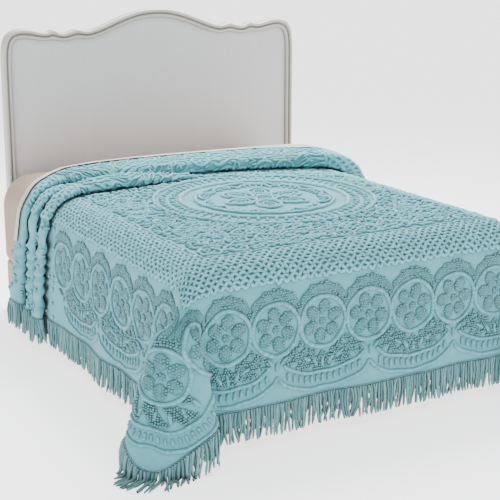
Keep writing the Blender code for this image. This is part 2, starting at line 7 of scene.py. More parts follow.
import bmesh
import bpy
import numpy as np
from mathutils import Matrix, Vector


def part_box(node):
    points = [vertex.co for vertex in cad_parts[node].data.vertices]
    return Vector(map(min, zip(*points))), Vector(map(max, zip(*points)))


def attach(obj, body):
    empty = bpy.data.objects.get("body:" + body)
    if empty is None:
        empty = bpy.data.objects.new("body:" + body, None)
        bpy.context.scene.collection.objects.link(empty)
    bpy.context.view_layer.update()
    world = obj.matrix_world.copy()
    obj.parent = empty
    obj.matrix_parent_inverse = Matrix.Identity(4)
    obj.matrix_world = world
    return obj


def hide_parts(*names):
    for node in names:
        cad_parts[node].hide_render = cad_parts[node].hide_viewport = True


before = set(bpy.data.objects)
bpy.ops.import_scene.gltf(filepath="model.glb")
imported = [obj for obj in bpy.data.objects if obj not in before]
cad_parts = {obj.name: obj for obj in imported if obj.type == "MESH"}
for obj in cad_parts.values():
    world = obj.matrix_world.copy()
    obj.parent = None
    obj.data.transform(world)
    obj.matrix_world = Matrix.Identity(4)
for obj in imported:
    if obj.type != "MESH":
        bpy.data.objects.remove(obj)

LOG = logging.getLogger("bedspread")
BODY = "root"

# Short names for types
Array = np.ndarray
Pair = tuple[float, float]
Colour = Place = tuple[float, float, float]
Socket = bpy.types.NodeSocket
Piece = bpy.types.Object


class Pile(Enum):
    """How a raised line of tufts is worked."""

    CORD = "cord"
    TUFTED = "tufted"


# Finishes


class Nodes:
    """A material's node tree with short calls to fill it."""

    def __init__(self, name: str) -> None:
        """Start a node material.

        Args:
            name: Name of the material.
        """
        self.material = bpy.data.materials.new(name)
        self.material.use_nodes = True
        self.tree = self.material.node_tree
        self.shader = self.tree.nodes["Principled BSDF"]

    def fill(self, node: bpy.types.Node, settings: dict[str | int, object]) -> None:
        """Set properties and inputs of a node.

        Args:
            node: The node.
            settings: Properties, values of inputs, or the sockets that feed them.
        """
        for key, value in settings.items():
            if isinstance(value, Socket):
                self.tree.links.new(value, node.inputs[key])
            elif isinstance(key, int) or key in node.inputs:
                node.inputs[key].default_value = value
            else:
                setattr(node, key, value)

    def add(self, kind: str, inputs: dict[str | int, object] | None = None,
            **settings: object) -> bpy.types.Node:
        """Add one node.

        Args:
            kind: Blender's node type.
            inputs: Inputs by a number or by a name with spaces.
            settings: Properties of the node, or its inputs by name.

        Returns:
            The new node.
        """
        node = self.tree.nodes.new(kind)
        self.fill(node, settings)
        self.fill(node, inputs or {})
        return node

    def ramp(self, source: Socket, low: Colour, high: Colour, span: Pair = (0.0, 1.0)) -> Socket:
        """Turn a value into a colour between two.

        Args:
            source: The value.
            low: Colour at the low end.
            high: Colour at the high end.
            span: Values at which the two colours are reached.

        Returns:
            The colour socket.
        """
        node = self.add("ShaderNodeValToRGB", {0: source})
        for element, place, colour in zip(node.color_ramp.elements, span, (low, high)):
            element.position = place
            element.color = (*colour, 1.0)
        return node.outputs[0]

    def painted_crevice_shade(self, tone: Socket, reach: float, dark: Colour) -> Socket:
        """Paint shade into a colour in crevices and seams, where an ambient occlusion node finds other
        surfaces near.

        Args:
            tone: The colour.
            reach: Width of the crevices in metres.
            dark: What the colour is multiplied by in the deepest crevice, the strength of the painted
                shade.

        Returns:
            The colour socket.
        """
        # painted shade: the colour is darkened where the occlusion node finds surfaces close by
        crevice = self.add("ShaderNodeAmbientOcclusion", samples=6, Distance=reach, Color=tone)
        shade = self.ramp(crevice.outputs["AO"], dark, (1.0, 1.0, 1.0), (0.15, 0.85))
        return self.add("ShaderNodeMix", {0: 1.0, 6: crevice.outputs["Color"], 7: shade},
                        data_type="RGBA", blend_type="MULTIPLY").outputs[2]

    def bump(self, height: Socket, distance: float, strength: float,
             under: Socket | None = None) -> Socket:
        """Add a bump.

        Args:
            height: Height of the relief, 0 to 1.
            distance: Its depth in metres.
            strength: Its strength.
            under: Normal of a bump below it.

        Returns:
            The normal socket.
        """
        below = {} if under is None else {"Normal": under}
        return self.add("ShaderNodeBump", below, Strength=strength, Distance=distance,
                        Height=height).outputs[0]


@dataclass(frozen=True)
class Cotton:
    """Cotton cloth or pile: two tones, a weave or tufts, a soft nap, and painted shade in crevices and
    where the pile value is low.
    """

    name: str
    shade: Colour
    light: Colour
    rough: float = 0.92
    nap: float = 0.25
    grain: float = 420.0
    depth: float = 0.0012
    patch: float = 9.0
    weave: float = 0.0
    # how far the painted crevice shade reaches, and the colour it multiplies by at its deepest
    painted_shade_reach: float = 0.02
    dark: Colour = (0.35, 0.45, 0.45)

    def make(self) -> bpy.types.Material:
        """Build the material.

        Returns:
            The material.
        """
        n = Nodes(self.name)
        place = n.add("ShaderNodeTexCoord").outputs["Object"]
        fine = n.add("ShaderNodeTexNoise", Scale=self.grain, Detail=3.0, Roughness=0.65, Vector=place)
        broad = n.add("ShaderNodeTexNoise", Scale=self.patch, Detail=2.0, Vector=place)
        # the pile attribute picks between the shade and the light colour: on the tufting and cloth it
        # carries painted shade, low at the foot of ridges and tufts and in the gaps between the side tubes;
        # on the fringe it is a random tone for each strand
        pile = n.add("ShaderNodeAttribute", attribute_name="pile")
        mixed = n.add("ShaderNodeMath", {0: fine.outputs[0], 1: 0.55, 2: pile.outputs["Fac"]},
                      operation="MULTIPLY_ADD")
        tone = n.ramp(mixed.outputs[0], self.shade, self.light, (0.2, 0.95))
        level = n.add("ShaderNodeMapRange", {"To Min": 0.92, "To Max": 1.08}, Value=broad.outputs[0])
        # painted shade in crevices darkens the tone; broad noise then varies its value at random
        vary = n.add("ShaderNodeHueSaturation", Color=n.painted_crevice_shade(tone, self.painted_shade_reach, self.dark),
                     Value=level.outputs[0])
        normal = n.bump(fine.outputs[0], self.depth, 0.9)
        if self.weave:
            cells = n.add("ShaderNodeTexVoronoi", Scale=self.weave, Vector=place)
            normal = n.bump(cells.outputs["Distance"], self.depth, 0.5, normal)
        n.fill(n.shader, {"Base Color": vary.outputs[0], "Roughness": self.rough, "Normal": normal,
                          "Sheen Weight": self.nap, "Sheen Roughness": 0.6,
                          "Specular IOR Level": 0.15})
        n.material.diffuse_color = (*self.light, 1.0)
        return n.material


@dataclass(frozen=True)
class Paint:
    """Brushed satin paint on wood, with painted shade in its recesses."""

    name: str
    colour: Colour
    rough: float = 0.42
    brush: float = 60.0

    def make(self) -> bpy.types.Material:
        """Build the material.

        Returns:
            The material.
        """
        n = Nodes(self.name)
        place = n.add("ShaderNodeTexCoord").outputs["Object"]
        streak = n.add("ShaderNodeMapping", Scale=(1.0, 1.0, 0.12), Vector=place)
        brush = n.add("ShaderNodeTexNoise", Scale=self.brush, Detail=4.0, Vector=streak.outputs[0])
        dull = tuple(c * 0.975 for c in self.colour)
        tone = n.ramp(brush.outputs[0], dull, self.colour, (0.35, 0.65))
        # painted shade darkens the paint in the moulding's recesses
        n.fill(n.shader, {"Base Color": n.painted_crevice_shade(tone, 0.03, (0.45, 0.44, 0.43)),
                          "Roughness": self.rough, "Normal": n.bump(brush.outputs[0], 0.0004, 0.3)})
        n.material.diffuse_color = (*self.colour, 1.0)
        return n.material


# Helpers for meshes


def smoothstep(x: Array) -> Array:
    """Ease from 0 to 1.

    Args:
        x: Values.

    Returns:
        Eased values.
    """
    x = np.clip(x, 0.0, 1.0)
    return x * x * (3.0 - 2.0 * x)


def unit(v: Array) -> Array:
    """Scale vectors to length 1.

    Args:
        v: The vectors, along the last axis.

    Returns:
        The unit vectors, and nothing where there is no length.
    """
    return v / np.maximum(np.linalg.norm(v, axis=-1, keepdims=True), 1e-9)


def smooth_path(points: Array, steps: int) -> Array:
    """Points along a Catmull-Rom curve.

    Args:
        points: The points it passes through.
        steps: Steps between two of them.

    Returns:
        The finer points.
    """
    p = np.asarray(points, float)
    ext = np.vstack([2 * p[0] - p[1], p, 2 * p[-1] - p[-2]])
    t = (np.arange(steps) / steps)[:, None]
    out = []
    for a, b, c, d in zip(ext[:-3], ext[1:-2], ext[2:-1], ext[3:]):
        out.append(0.5 * (2 * b + (c - a) * t + (2 * a - 5 * b + 4 * c - d) * t * t
                          + (3 * b - 3 * c + d - a) * t ** 3))
    return np.vstack(out + [p[-1:]])


def walk(points: Array) -> Array:
    """Distance along a line of points.

    Args:
        points: The points, row by row.

    Returns:
        The distance of each from the first.
    """
    return np.concatenate([[0.0], np.cumsum(np.linalg.norm(np.diff(points, axis=0), axis=1))])


def resample(points: Array, step: float) -> Array:
    """Even points along a line.

    Args:
        points: The line.
        step: Wanted spacing in metres.

    Returns:
        Points at about that spacing, ends kept.
    """
    s = walk(points)
    count = max(int(round(s[-1] / step)), 2) + 1
    even = np.linspace(0.0, s[-1], count)
    return np.stack([np.interp(even, s, points[:, k]) for k in range(points.shape[1])], 1)


def set_attribute(mesh: bpy.types.Mesh, name: str, values: Array) -> None:
    """Store one number on each vertex.

    Args:
        mesh: The mesh.
        name: Name of the attribute.
        values: The numbers.
    """
    layer = mesh.attributes.new(name, "FLOAT", "POINT")
    layer.data.foreach_set("value", np.asarray(values, np.float32).ravel())


def placed(name: str, data: bpy.types.ID) -> Piece:
    """Put a mesh, a lamp or a camera in the scene.

    Args:
        name: Name of the object.
        data: What it holds.

    Returns:
        The object.
    """
    thing = bpy.data.objects.new(name, data)
    bpy.context.scene.collection.objects.link(thing)
    return thing


def finish_piece(name: str, mesh: bpy.types.Mesh, material: bpy.types.Material,
                 smooth: bool = True) -> Piece:
    """Make a piece of a mesh, dress it and let it ride on the bed.

    Args:
        name: Name of the piece.
        mesh: Its mesh, in place.
        material: Its finish.
        smooth: Whether it is shaded smooth.

    Returns:
        The piece.
    """
    mesh.materials.append(material)
    if smooth:
        mesh.shade_smooth()
    piece = placed(name, mesh)
    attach(piece, BODY)
    LOG.info("%s: %d faces", name, len(mesh.polygons))
    return piece


def mesh_of(bm: bmesh.types.BMesh, name: str) -> bpy.types.Mesh:
    """Turn a bmesh into a mesh.

    Args:
        bm: The bmesh, freed here.
        name: Name of the mesh.

    Returns:
        The mesh.
    """
    bmesh.ops.recalc_face_normals(bm, faces=bm.faces)
    mesh = bpy.data.meshes.new(name)
    bm.to_mesh(mesh)
    bm.free()
    return mesh


def bevel(bm: bmesh.types.BMesh, edges: list[bmesh.types.BMEdge], offset: float, segments: int) -> None:
    """Round edges.

    Args:
        bm: The bmesh.
        edges: The edges.
        offset: Their rounding.
        segments: Faces across it.
    """
    bmesh.ops.bevel(bm, geom=edges, offset=offset, segments=segments, profile=0.5, affect="EDGES",
                    material=-1)


def edges_of(bm: bmesh.types.BMesh, level: bool) -> list[bmesh.types.BMEdge]:
    """The level or the rising edges of a bmesh.

    Args:
        bm: The bmesh.
        level: Whether the level ones are meant.

    Returns:
        The edges.
    """
    return [e for e in bm.edges if (abs(e.verts[0].co.z - e.verts[1].co.z) < 1e-6) == level]


def box_of(node: str) -> tuple[bmesh.types.BMesh, Vector, Vector]:
    """A cube stretched to the box of a solid.

    Args:
        node: The solid.

    Returns:
        The bmesh and the low and high corners.
    """
    low, high = (Vector(corner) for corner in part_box(node))
    bm = bmesh.new()
    bmesh.ops.create_cube(bm, size=1.0)
    for v in bm.verts:
        v.co = Vector(low[k] if v.co[k] < 0 else high[k] for k in range(3))
    return bm, low, high


def grid_mesh(name: str, places: Array, pile: Array | float,
              breaks: Array | None = None) -> bpy.types.Mesh:
    """A grid of quads through places.

    Args:
        name: Name of the mesh.
        places: Rows by columns by 3.
        pile: Pile value, 0 to 1, at each place or everywhere, which picks the colour between the two tones;
            on the tufting it carries painted shade.
        breaks: Rows after which the grid is cut.

    Returns:
        The mesh.
    """
    rows, cols = places.shape[:2]
    bm = bmesh.new()
    bmesh.ops.create_grid(bm, x_segments=cols - 1, y_segments=rows - 1, size=1.0)
    bm.verts.ensure_lookup_table()
    flat = np.array([v.co[:2] for v in bm.verts])
    i = np.rint((flat[:, 1] + 1) / 2 * (rows - 1)).astype(int)
    j = np.rint((flat[:, 0] + 1) / 2 * (cols - 1)).astype(int)
    if breaks is not None:
        cut = np.isin(np.arange(rows), breaks)
        doomed = [face for face in bm.faces if cut[min(i[v.index] for v in face.verts)]]
        bmesh.ops.delete(bm, geom=doomed, context="FACES_ONLY")
    mesh = bpy.data.meshes.new(name)
    bm.to_mesh(mesh)
    bm.free()
    mesh.vertices.foreach_set("co", places[i, j].astype(np.float32).ravel())
    set_attribute(mesh, "pile", np.broadcast_to(pile, (rows, cols))[i, j])
    mesh.update()
    return mesh


def joined_mesh(name: str, pattern: bpy.types.Mesh, places: Array, pile: Array) -> bpy.types.Mesh:
    """Many copies of one small mesh, joined.

    Args:
        name: Name of the mesh.
        pattern: The small mesh, for its faces.
        places: Copies by vertices by 3.
        pile: Pile value on each vertex of each copy, which picks the colour between the two tones; on the
            tufts it carries painted shade.

    Returns:
        The joined mesh.
    """
    copies, count = places.shape[:2]
    faces = [list(face.vertices) for face in pattern.polygons]
    offsets = (np.arange(copies) * count).tolist()
    joined = [[v + offset for v in face] for offset in offsets for face in faces]
    mesh = bpy.data.meshes.new(name)
    mesh.from_pydata(places.reshape(-1, 3).tolist(), [], joined)
    set_attribute(mesh, "pile", pile)
    bpy.data.meshes.remove(pattern)
    return mesh


# The way the cloth lies


@dataclass
class Drape:
    """Where each flat point of the bedspread comes to lie on the bed.

    Flat points are (u, v) in metres: u across from the middle, v from the foot hem.
    """

    origin: Pair
    width: float = 2.37
    half_top: float = 0.6925
    top_z: float = 0.6465
    foot_drop: float = 0.497
    bed_length: float = 1.88
    thick: float = 0.003
    hem_flare: float = 0.016
    wave: float = 0.007
    side_waves: tuple = ((13.0, 0.8, 1.0), (23.0, 1.3, 0.6))
    foot_waves: tuple = ((11.0, 0.5, 1.0), (21.0, 2.0, 0.6))
    wave_fade: Pair = (0.30, 0.20)
    floor_gap: float = 0.006
    floor_soft: float = 0.012
    floor_reach: float = 0.10
    floor_push: float = 0.8
    edge_reach: float = 0.12
    fold_reach: float = 0.02
    blur_fade: Pair = (0.13, 0.12)
    step: float = 0.01
    corner_loop: tuple = (
        (0.0, 0.0), (-0.03, -0.045), (-0.085, 0.035), (-0.15, 0.065), (-0.20, 0.03),
        (-0.265, 0.075), (-0.305, 0.04), (-0.29, -0.03), (-0.22, -0.10), (-0.12, -0.15),
        (-0.02, -0.175), (0.06, -0.175), (0.085, -0.155), (0.055, -0.115), (0.01, -0.088),
        (0.035, -0.05), (0.012, -0.02), (0.0, 0.0),
    )
    flap_width: Place = (0.60, 0.18, 0.04)
    corner_round: float = 0.11
    # one tuck: share of its depth, distance on, height, place when flattened
    tuck: tuple = (
        (0.0, -0.010, 0.0000, 0.00), (0.35, 0.0, 0.0000, 0.09), (1.0, -0.018, 0.0010, 0.18),
        (1.0, 0.000, 0.0070, 0.25), (1.0, -0.018, 0.0135, 0.32), (0.35, 0.0, 0.0150, 0.42),
        (0.0, 0.002, 0.0170, 0.50), (0.0, -0.009, 0.0270, 0.56), (0.0, -0.006, 0.0410, 0.62),
        (0.0, 0.012, 0.0520, 0.70), (0.50, 0.0, 0.0570, 0.80), (1.0, -0.013, 0.0500, 0.90),
        (1.0, 0.005, 0.0240, 1.00),
    )
    tuck_u: tuple = (-1.185, -0.95, -0.80, -0.72, -0.615, -0.52, -0.36, -0.18, 0.0, 0.24, 0.49,
                     0.67, 0.80, 1.185)
    tuck_front: tuple = (
        (1.230, 1.215, 1.195, 1.175, 1.170, 1.195, 1.215, 1.235, 1.270, 1.190, 1.110, 1.010,
         0.980, 0.985),
        (1.350, 1.335, 1.310, 1.290, 1.290, 1.310, 1.330, 1.320, 1.310, 1.260, 1.180, 1.080,
         1.050, 1.050),
        (1.470, 1.455, 1.425, 1.395, 1.390, 1.405, 1.395, 1.385, 1.365, 1.325, 1.245, 1.145,
         1.110, 1.110),
    )
    tuck_depth: tuple = (
        (0.064, 0.058, 0.056, 0.056, 0.066, 0.090, 0.095, 0.065, 0.060, 0.060, 0.060, 0.060,
         0.060, 0.060),
        (0.064, 0.058, 0.056, 0.056, 0.056, 0.060, 0.060, 0.060, 0.060, 0.060, 0.060, 0.060,
         0.060, 0.060),
        (0.105, 0.085, 0.080, 0.085, 0.110, 0.155, 0.190, 0.205, 0.225, 0.240, 0.270, 0.290,
         0.270, 0.260),
    )
    tuck_folded: tuple = (
        (1.0, 1.0, 1.0, 1.0, 1.0, 1.0, 1.0, 0.55, 0.12, 0.0, 0.0, 0.0, 0.0, 0.0),
        (1.0, 1.0, 1.0, 0.8, 0.45, 0.1, 0.0, 0.0, 0.0, 0.0, 0.0, 0.0, 0.0, 0.0),
        (1.0, 1.0, 1.0, 1.0, 1.0, 1.0, 1.0, 1.0, 1.0, 1.0, 1.0, 1.0, 1.0, 1.0),
    )
    tuck_height: tuple = (0.9, 0.7, 0.55, 0.5, 0.6, 0.9, 1.1, 1.15, 1.15, 1.2, 1.35, 1.7,
                          1.7, 1.2)
    tuck_layers: float = 0.017
    tuck_gap: float = 0.008
    tuck_ease: float = 0.7
    plain_end: float = 0.075
    head_tail: tuple = ((0.023, 0.006), (0.045, 0.0))
    fine: float = 0.004
    pucker: float = 0.0010
    tucked_from: Pair = (0.055, 0.03)
    tube_from: Pair = (0.72, 0.08)
    gap_from: Pair = (0.70, 0.06)
    gap_height: Pair = (0.38, 0.45)
    hem_end: float = 0.010
    sheet_half: float = 0.93
    sheet_front: tuple = ((-0.74, -0.50, 0.40, 0.62), (0.34, 0.72, 0.72, 0.40))
    sheet_back: Pair = (0.050, 0.032)
    lump: float = 0.0044
    lump_rate: float = 118.0
    pucker_waves: tuple = ((61.0, 34.0, 0.4), (-47.0, 83.0, 1.9), (97.0, -22.0, 3.1),
                           (22.0, 118.0, 4.4), (-88.0, -69.0, 5.2))

    def __post_init__(self) -> None:
        """Work out the tables that the look-ups read."""
        self.side_drop = self.width / 2 - self.half_top
        self.us = np.arange(-self.width / 2, self.width / 2 + self.step / 2, self.step)
        self.ws = np.arange(-self.foot_drop, self.bed_length + 0.3, self.step)
        u, w = np.meshgrid(self.us, self.ws, indexing="ij")
        sharp = self.sharp(u, w)
        soft = self.rounded(sharp, self.edge_reach)
        crisp = self.rounded(sharp, self.fold_reach)
        depth = np.hypot(np.maximum(np.abs(u) - self.half_top, 0.0), np.maximum(-w, 0.0))
        keep = smoothstep((depth - self.blur_fade[0]) / self.blur_fade[1])[..., None]
        self.table = self.on_floor(soft * (1 - keep) + crisp * keep)
        self.normals = self.normals_of(self.table)
        self.fold_tucks()

    @staticmethod
    def normals_of(table: Array) -> Array:
        """Unit normals of a table of places.

        Args:
            table: Places over u and v.

        Returns:
            The normals.
        """
        return unit(np.cross(np.gradient(table, axis=0), np.gradient(table, axis=1)))

    def corner_rays(self) -> tuple[Array, Array]:
        """Directions round the corner fold, scaled until they span a right angle.

        Returns:
            The angle of each in the flat cloth, and the directions.
        """
        flat = smooth_path(self.corner_loop, 12)
        turn = np.arctan2(flat[:, 1], flat[:, 0])
        low, high = 0.5, 2.5
        for _ in range(40):
            scale = (low + high) / 2
            tilt = np.hypot(flat[:, 0], flat[:, 1]) * scale
            rays = np.stack([np.sin(tilt) * np.cos(turn), np.sin(tilt) * np.sin(turn),
                             -np.cos(tilt)], 1)
            gaps = np.arccos(np.clip(np.sum(rays[1:] * rays[:-1], axis=1), -1.0, 1.0))
            low, high = (scale, high) if gaps.sum() < math.pi / 2 else (low, scale)
        angle = np.concatenate([[0.0], np.cumsum(gaps)])
        return angle * (math.pi / 2 / angle[-1]), rays

    def rounded(self, table: Array, reach: float) -> Array:
        """Average a table over a reach each way, straight on past its edges.

        Args:
            table: Places over u and v.
            reach: Reach in metres.

        Returns:
            The rounded table.
        """
        n_reach = int(round(reach / self.step))
        for axis in (0, 1):
            f = np.moveaxis(table, axis, 0)
            n = f.shape[0]
            out = np.arange(1, n_reach + 1)[:, None, None]
            first = (f[0] - (f[1] - f[0]) * out)[::-1]
            last = f[-1] + (f[-1] - f[-2]) * out
            padded = np.concatenate([first, f, last])
            f = sum(padded[i:i + n] for i in range(2 * n_reach + 1)) / (2 * n_reach + 1)
            table = np.moveaxis(f, 0, axis)
        return table

    def round_corner(self, q: Array, f: Array) -> tuple[Array, Array]:
        """Draw the square corner of the cloth in to its rounded cut.

        Args:
            q: Distances down the side drop.
            f: Distances down the foot drop.

        Returns:
            The two distances on the rounded cloth.
        """
        turn = np.arctan2(np.maximum(f, 0.0) / self.foot_drop, np.maximum(q, 1e-9) / self.side_drop)
        lean = np.tan(np.minimum(turn, math.pi / 2 - turn))
        straight = (self.side_drop - self.corner_round) / self.side_drop
        r = 1.0 - straight
        m = 1.0 + lean * lean
        b = straight * (1.0 + lean)
        c = 2.0 * straight * straight - r * r
        hit = (b + np.sqrt(np.maximum(b * b - m * c, 0.0))) / m
        hit = np.where(lean > straight, np.minimum(hit, 1.0), 1.0)
        reach = np.clip(np.maximum(q / self.side_drop, f / self.foot_drop), 0.0, 1.0)
        scale = np.where((q > 0) & (f > 0), 1.0 - (1.0 - hit) * reach ** 3, 1.0)
        return q * scale, f * scale

    def sharp(self, u: Array, w: Array) -> Array:
        """The cloth over a bed with sharp edges.

        Args:
            u: Places across.
            w: Places along, from the foot edge.

        Returns:
            The places in space.
        """
        side = np.sign(u)
        q = np.abs(u) - self.half_top
        f = -w
        place = np.stack([np.clip(u, -self.half_top, self.half_top), np.maximum(w, 0.0),
                          np.zeros_like(u)], 2)
        wave_s = sum(high * np.sin(w * rate + side * start) for rate, start, high in self.side_waves)
        out_s = ((self.hem_flare + self.wave * wave_s) * smoothstep(q / self.side_drop)
                 * smoothstep(w / self.wave_fade[0]))
        wave_f = sum(high * np.sin(u * rate + start) for rate, start, high in self.foot_waves)
        out_f = ((self.hem_flare + self.wave * wave_f) * smoothstep(f / self.foot_drop)
                 * smoothstep((self.half_top - np.abs(u)) / self.wave_fade[1]))
        on_side = (q > 0) & (f <= 0)
        place[..., 0] += np.where(on_side, side * out_s, 0.0)
        place[..., 2] -= np.where(on_side, q, 0.0)
        on_foot = (q <= 0) & (f > 0)
        place[..., 1] -= np.where(on_foot, out_f, 0.0)
        place[..., 2] -= np.where(on_foot, f, 0.0)
        corner = (q > 0) & (f > 0)
        angle, rays = self.corner_rays()
        q, f = self.round_corner(q, f)
        turn = np.arctan2(np.maximum(f, 0.0), np.maximum(q, 1e-9))
        reach = np.hypot(q, f)
        least, ease, start = self.flap_width
        for k in range(3):
            ray = np.interp(turn, angle, rays[:, k])
            if k < 2:
                ray = ray * (least + ease / (reach + start))
            base = (self.half_top * side, 0.0, 0.0)[k]
            flip = -side if k == 0 else 1.0
            place[..., k] = np.where(corner, base + flip * ray * reach, place[..., k])
        place[..., 2] += self.top_z
        return place

    def on_floor(self, table: Array) -> Array:
        """Turn outward what would pass through the floor.

        Args:
            table: Places over u and v.

        Returns:
            The table above the floor.
        """
        low = self.floor_gap + self.thick / 2
        z = table[..., 2]
        near = z < low + self.floor_reach
        soft = self.floor_soft
        lifted = low + soft * np.log1p(np.exp(np.clip((z - low) / soft, -60, 60)))
        push = np.where(near, lifted - z, 0.0)
        axis = np.stack([np.clip(table[..., 0], -self.half_top, self.half_top),
                         np.zeros_like(z)], 2)
        table = table.copy()
        table[..., :2] += unit(table[..., :2] - axis) * push[..., None] * self.floor_push
        table[..., 2] = np.where(near, lifted, z)
        return table

    def tuck_section(self, u: float) -> tuple[Array, Array]:
        """Places along and heights of the cloth through the three tucks.

        Args:
            u: Place across.

        Returns:
            The places along the bed and the heights.
        """
        ys, hs = [], []
        fronts, depths, folded = ([np.interp(u, self.tuck_u, row) for row in rows]
                                  for rows in (self.tuck_front, self.tuck_depth, self.tuck_folded))
        height = np.interp(u, self.tuck_u, self.tuck_height)
        for k, (front, depth, amount) in enumerate(zip(fronts, depths, folded)):
            stop = fronts[k + 1] + self.tuck[0][1] if k < 2 else front + depth
            zone = stop - self.tuck_gap - front
            for share, on, high, flat in self.tuck:
                ys.append(front + amount * (share * depth + on) + (1 - amount) * flat * zone)
                extra = max(high - self.tuck_layers, 0.0) * (height - 1.0)
                hs.append(amount ** self.tuck_ease * (high + extra))
        for along, high in self.head_tail:
            ys.append(fronts[2] + depths[2] + along)
            hs.append(high)
        return np.array(ys), np.array(hs)

    def read(self, table: Array, a: Array, b: Array) -> Array:
        """Read a table between its grid points.

        Args:
            table: The table.
            a: Places along its first axis, in cells.
            b: Places along its second axis, in cells.

        Returns:
            The values.
        """
        a = np.clip(a, 0, table.shape[0] - 1.001)
        b = np.clip(b, 0, table.shape[1] - 1.001)
        i, j = a.astype(int), b.astype(int)
        s, t = (a - i)[..., None], (b - j)[..., None]
        return ((table[i, j] * (1 - s) + table[i + 1, j] * s) * (1 - t)
                + (table[i, j + 1] * (1 - s) + table[i + 1, j + 1] * s) * t)

    def base(self, u: Array, w: Array, h: Array) -> Array:
        """Places on the bed before tucking.

        Args:
            u: Places across.
            w: Places along, from the foot edge.
            h: Heights off the resting surface.

        Returns:
            The places in the bed's frame.
        """
        a, b = (u - self.us[0]) / self.step, (w - self.ws[0]) / self.step
        return self.read(self.table, a, b) + unit(self.read(self.normals, a, b)) * h[..., None]

    def fold_tucks(self) -> None:
        """Fill the fine table of the cloth with its tucks, over its true flat length."""
        self.start, self.end = np.zeros((2, len(self.us)))
        sections = []
        for k, u in enumerate(self.us):
            ys, hs = self.tuck_section(u)
            first = ys[0] - self.plain_end
            line = smooth_path(np.stack([np.append(first, ys), np.append(0.0, hs)], 1), 8)
            s = walk(line)
            sections.append((line, s))
            self.start[k] = self.foot_drop + first
            self.end[k] = self.start[k] + s[-1]
        covered = ((1.0 - np.interp(self.us, *self.sheet_front))
                   * np.interp(self.us, self.tuck_u, self.tuck_depth[2]) + self.sheet_back[0]
                   + self.sheet_back[1] * np.interp(self.us, self.tuck_u, self.tuck_height))
        self.bare = self.end - np.where(np.abs(self.us) < self.sheet_half, covered, self.hem_end)
        self.vs = np.arange(0.0, self.end.max() + self.fine, self.fine)
        u, v = np.meshgrid(self.us, self.vs, indexing="ij")
        along, high = v - self.foot_drop, np.zeros_like(v)
        for k, (line, s) in enumerate(sections):
            past = np.minimum(self.vs - self.start[k], s[-1])
            inside = past > 0
            along[k, inside] = np.interp(past[inside], s, line[:, 0])
            high[k, inside] = np.interp(past[inside], s, line[:, 1])
        self.lift = high
        self.full = self.base(u, along, high)
        normals = self.normals_of(self.full)
        for k, end in enumerate(self.end):
            last = int((end - 2 * self.fine) / self.fine)
            normals[k, last:] = normals[k, last]
        self.full_normals = normals
        self.full = self.full + np.array([*self.origin, 0.0])

    def at(self, u: Array, v: Array, h: Array | float = 0.0) -> Array:
        """Places of flat points on the draped cloth.

        Args:
            u: Places across.
            v: Places from the foot hem.
            h: Heights off the cloth.

        Returns:
            The places in the shared frame.
        """
        a = (np.asarray(u, float) - self.us[0]) / self.step
        b = np.asarray(v, float) / self.fine
        high = np.asarray(h, float) + self.puckers(u, v)
        return self.read(self.full, a, b) + unit(self.read(self.full_normals, a, b)) * high[..., None]

    def puckers(self, u: Array, v: Array) -> Array:
        """How far the tufting draws the cloth up and down.

        Args:
            u: Places across.
            v: Places from the foot hem.

        Returns:
            Heights, with the soft lumps of the tubes on the side.
        """
        u, v = np.asarray(u, float), np.asarray(v, float)
        swing = 6.0 * np.sin(9.0 * u) + 5.0 * np.sin(7.0 * v)
        drawn = sum(np.sin(a * u + b * v + c + swing) for a, b, c in self.pucker_waves)
        tube = self.tucked(u, v) * smoothstep((np.abs(u) - self.tube_from[0]) / self.tube_from[1])
        lumps = np.sin(self.lump_rate * u + 3.0 * np.sin(19.0 * u) + 40.0 * v)
        free = smoothstep((self.bare_at(u) - v) / 0.02)
        return free * (self.pucker * (drawn + np.sqrt(drawn * drawn + 1.0)) / 2 + self.lump * tube * lumps)

    def bare_at(self, u: Array) -> Array:
        """Where the sheet starts to cover the cloth, or its head edge.

        Args:
            u: Places across.

        Returns:
            The place from the foot hem.
        """
        return np.interp(u, self.us, self.bare)

    def holds(self, spots: Array, margin: float) -> Array:
        """Which flat spots lie on the cloth where it is bare.

        Args:
            spots: The spots.
            margin: Distance kept from the hems.

        Returns:
            True for those that do.
        """
        return ((spots[:, 1] < self.bare_at(spots[:, 0])) & (spots[:, 1] > margin)
                & (np.abs(spots[:, 0]) < self.width / 2 - margin))

    def shade_at(self, u: Array, v: Array) -> Array:
        """How much light the pile keeps: little in the gaps between the tubes on the sides.

        Args:
            u: Places across.
            v: Places from the foot hem.

        Returns:
            Shares from 0 to 1.
        """
        a, b = (u - self.us[0]) / self.step, v / self.fine
        crest = self.tuck[10][2]
        crest += (crest - self.tuck_layers) * (np.interp(u, self.tuck_u, self.tuck_height) - 1.0)
        high = self.read(self.lift[..., None], a, b)[..., 0] / crest
        tube = self.tucked(u, v) * smoothstep((np.abs(u) - self.gap_from[0]) / self.gap_from[1])
        return 1.0 - tube * (1.0 - smoothstep((high - self.gap_height[0]) / self.gap_height[1]))

    def tucked(self, u: Array, v: Array) -> Array:
        """Whether the cloth has come to its tucks.

        Args:
            u: Places across.
            v: Places from the foot hem.

        Returns:
            Shares from 0 before them to 1 on them.
        """
        past = v - np.interp(u, self.us, self.start) - self.tucked_from[0]
        return smoothstep(past / self.tucked_from[1])


# The tufted pattern, as lines and pile on the flat cloth


@dataclass(frozen=True)
class Ridge:
    """One raised line of tufts on the flat cloth."""

    points: Array
    wide: float = 0.010
    high: float = 0.0055
    pile: Pile = Pile.TUFTED


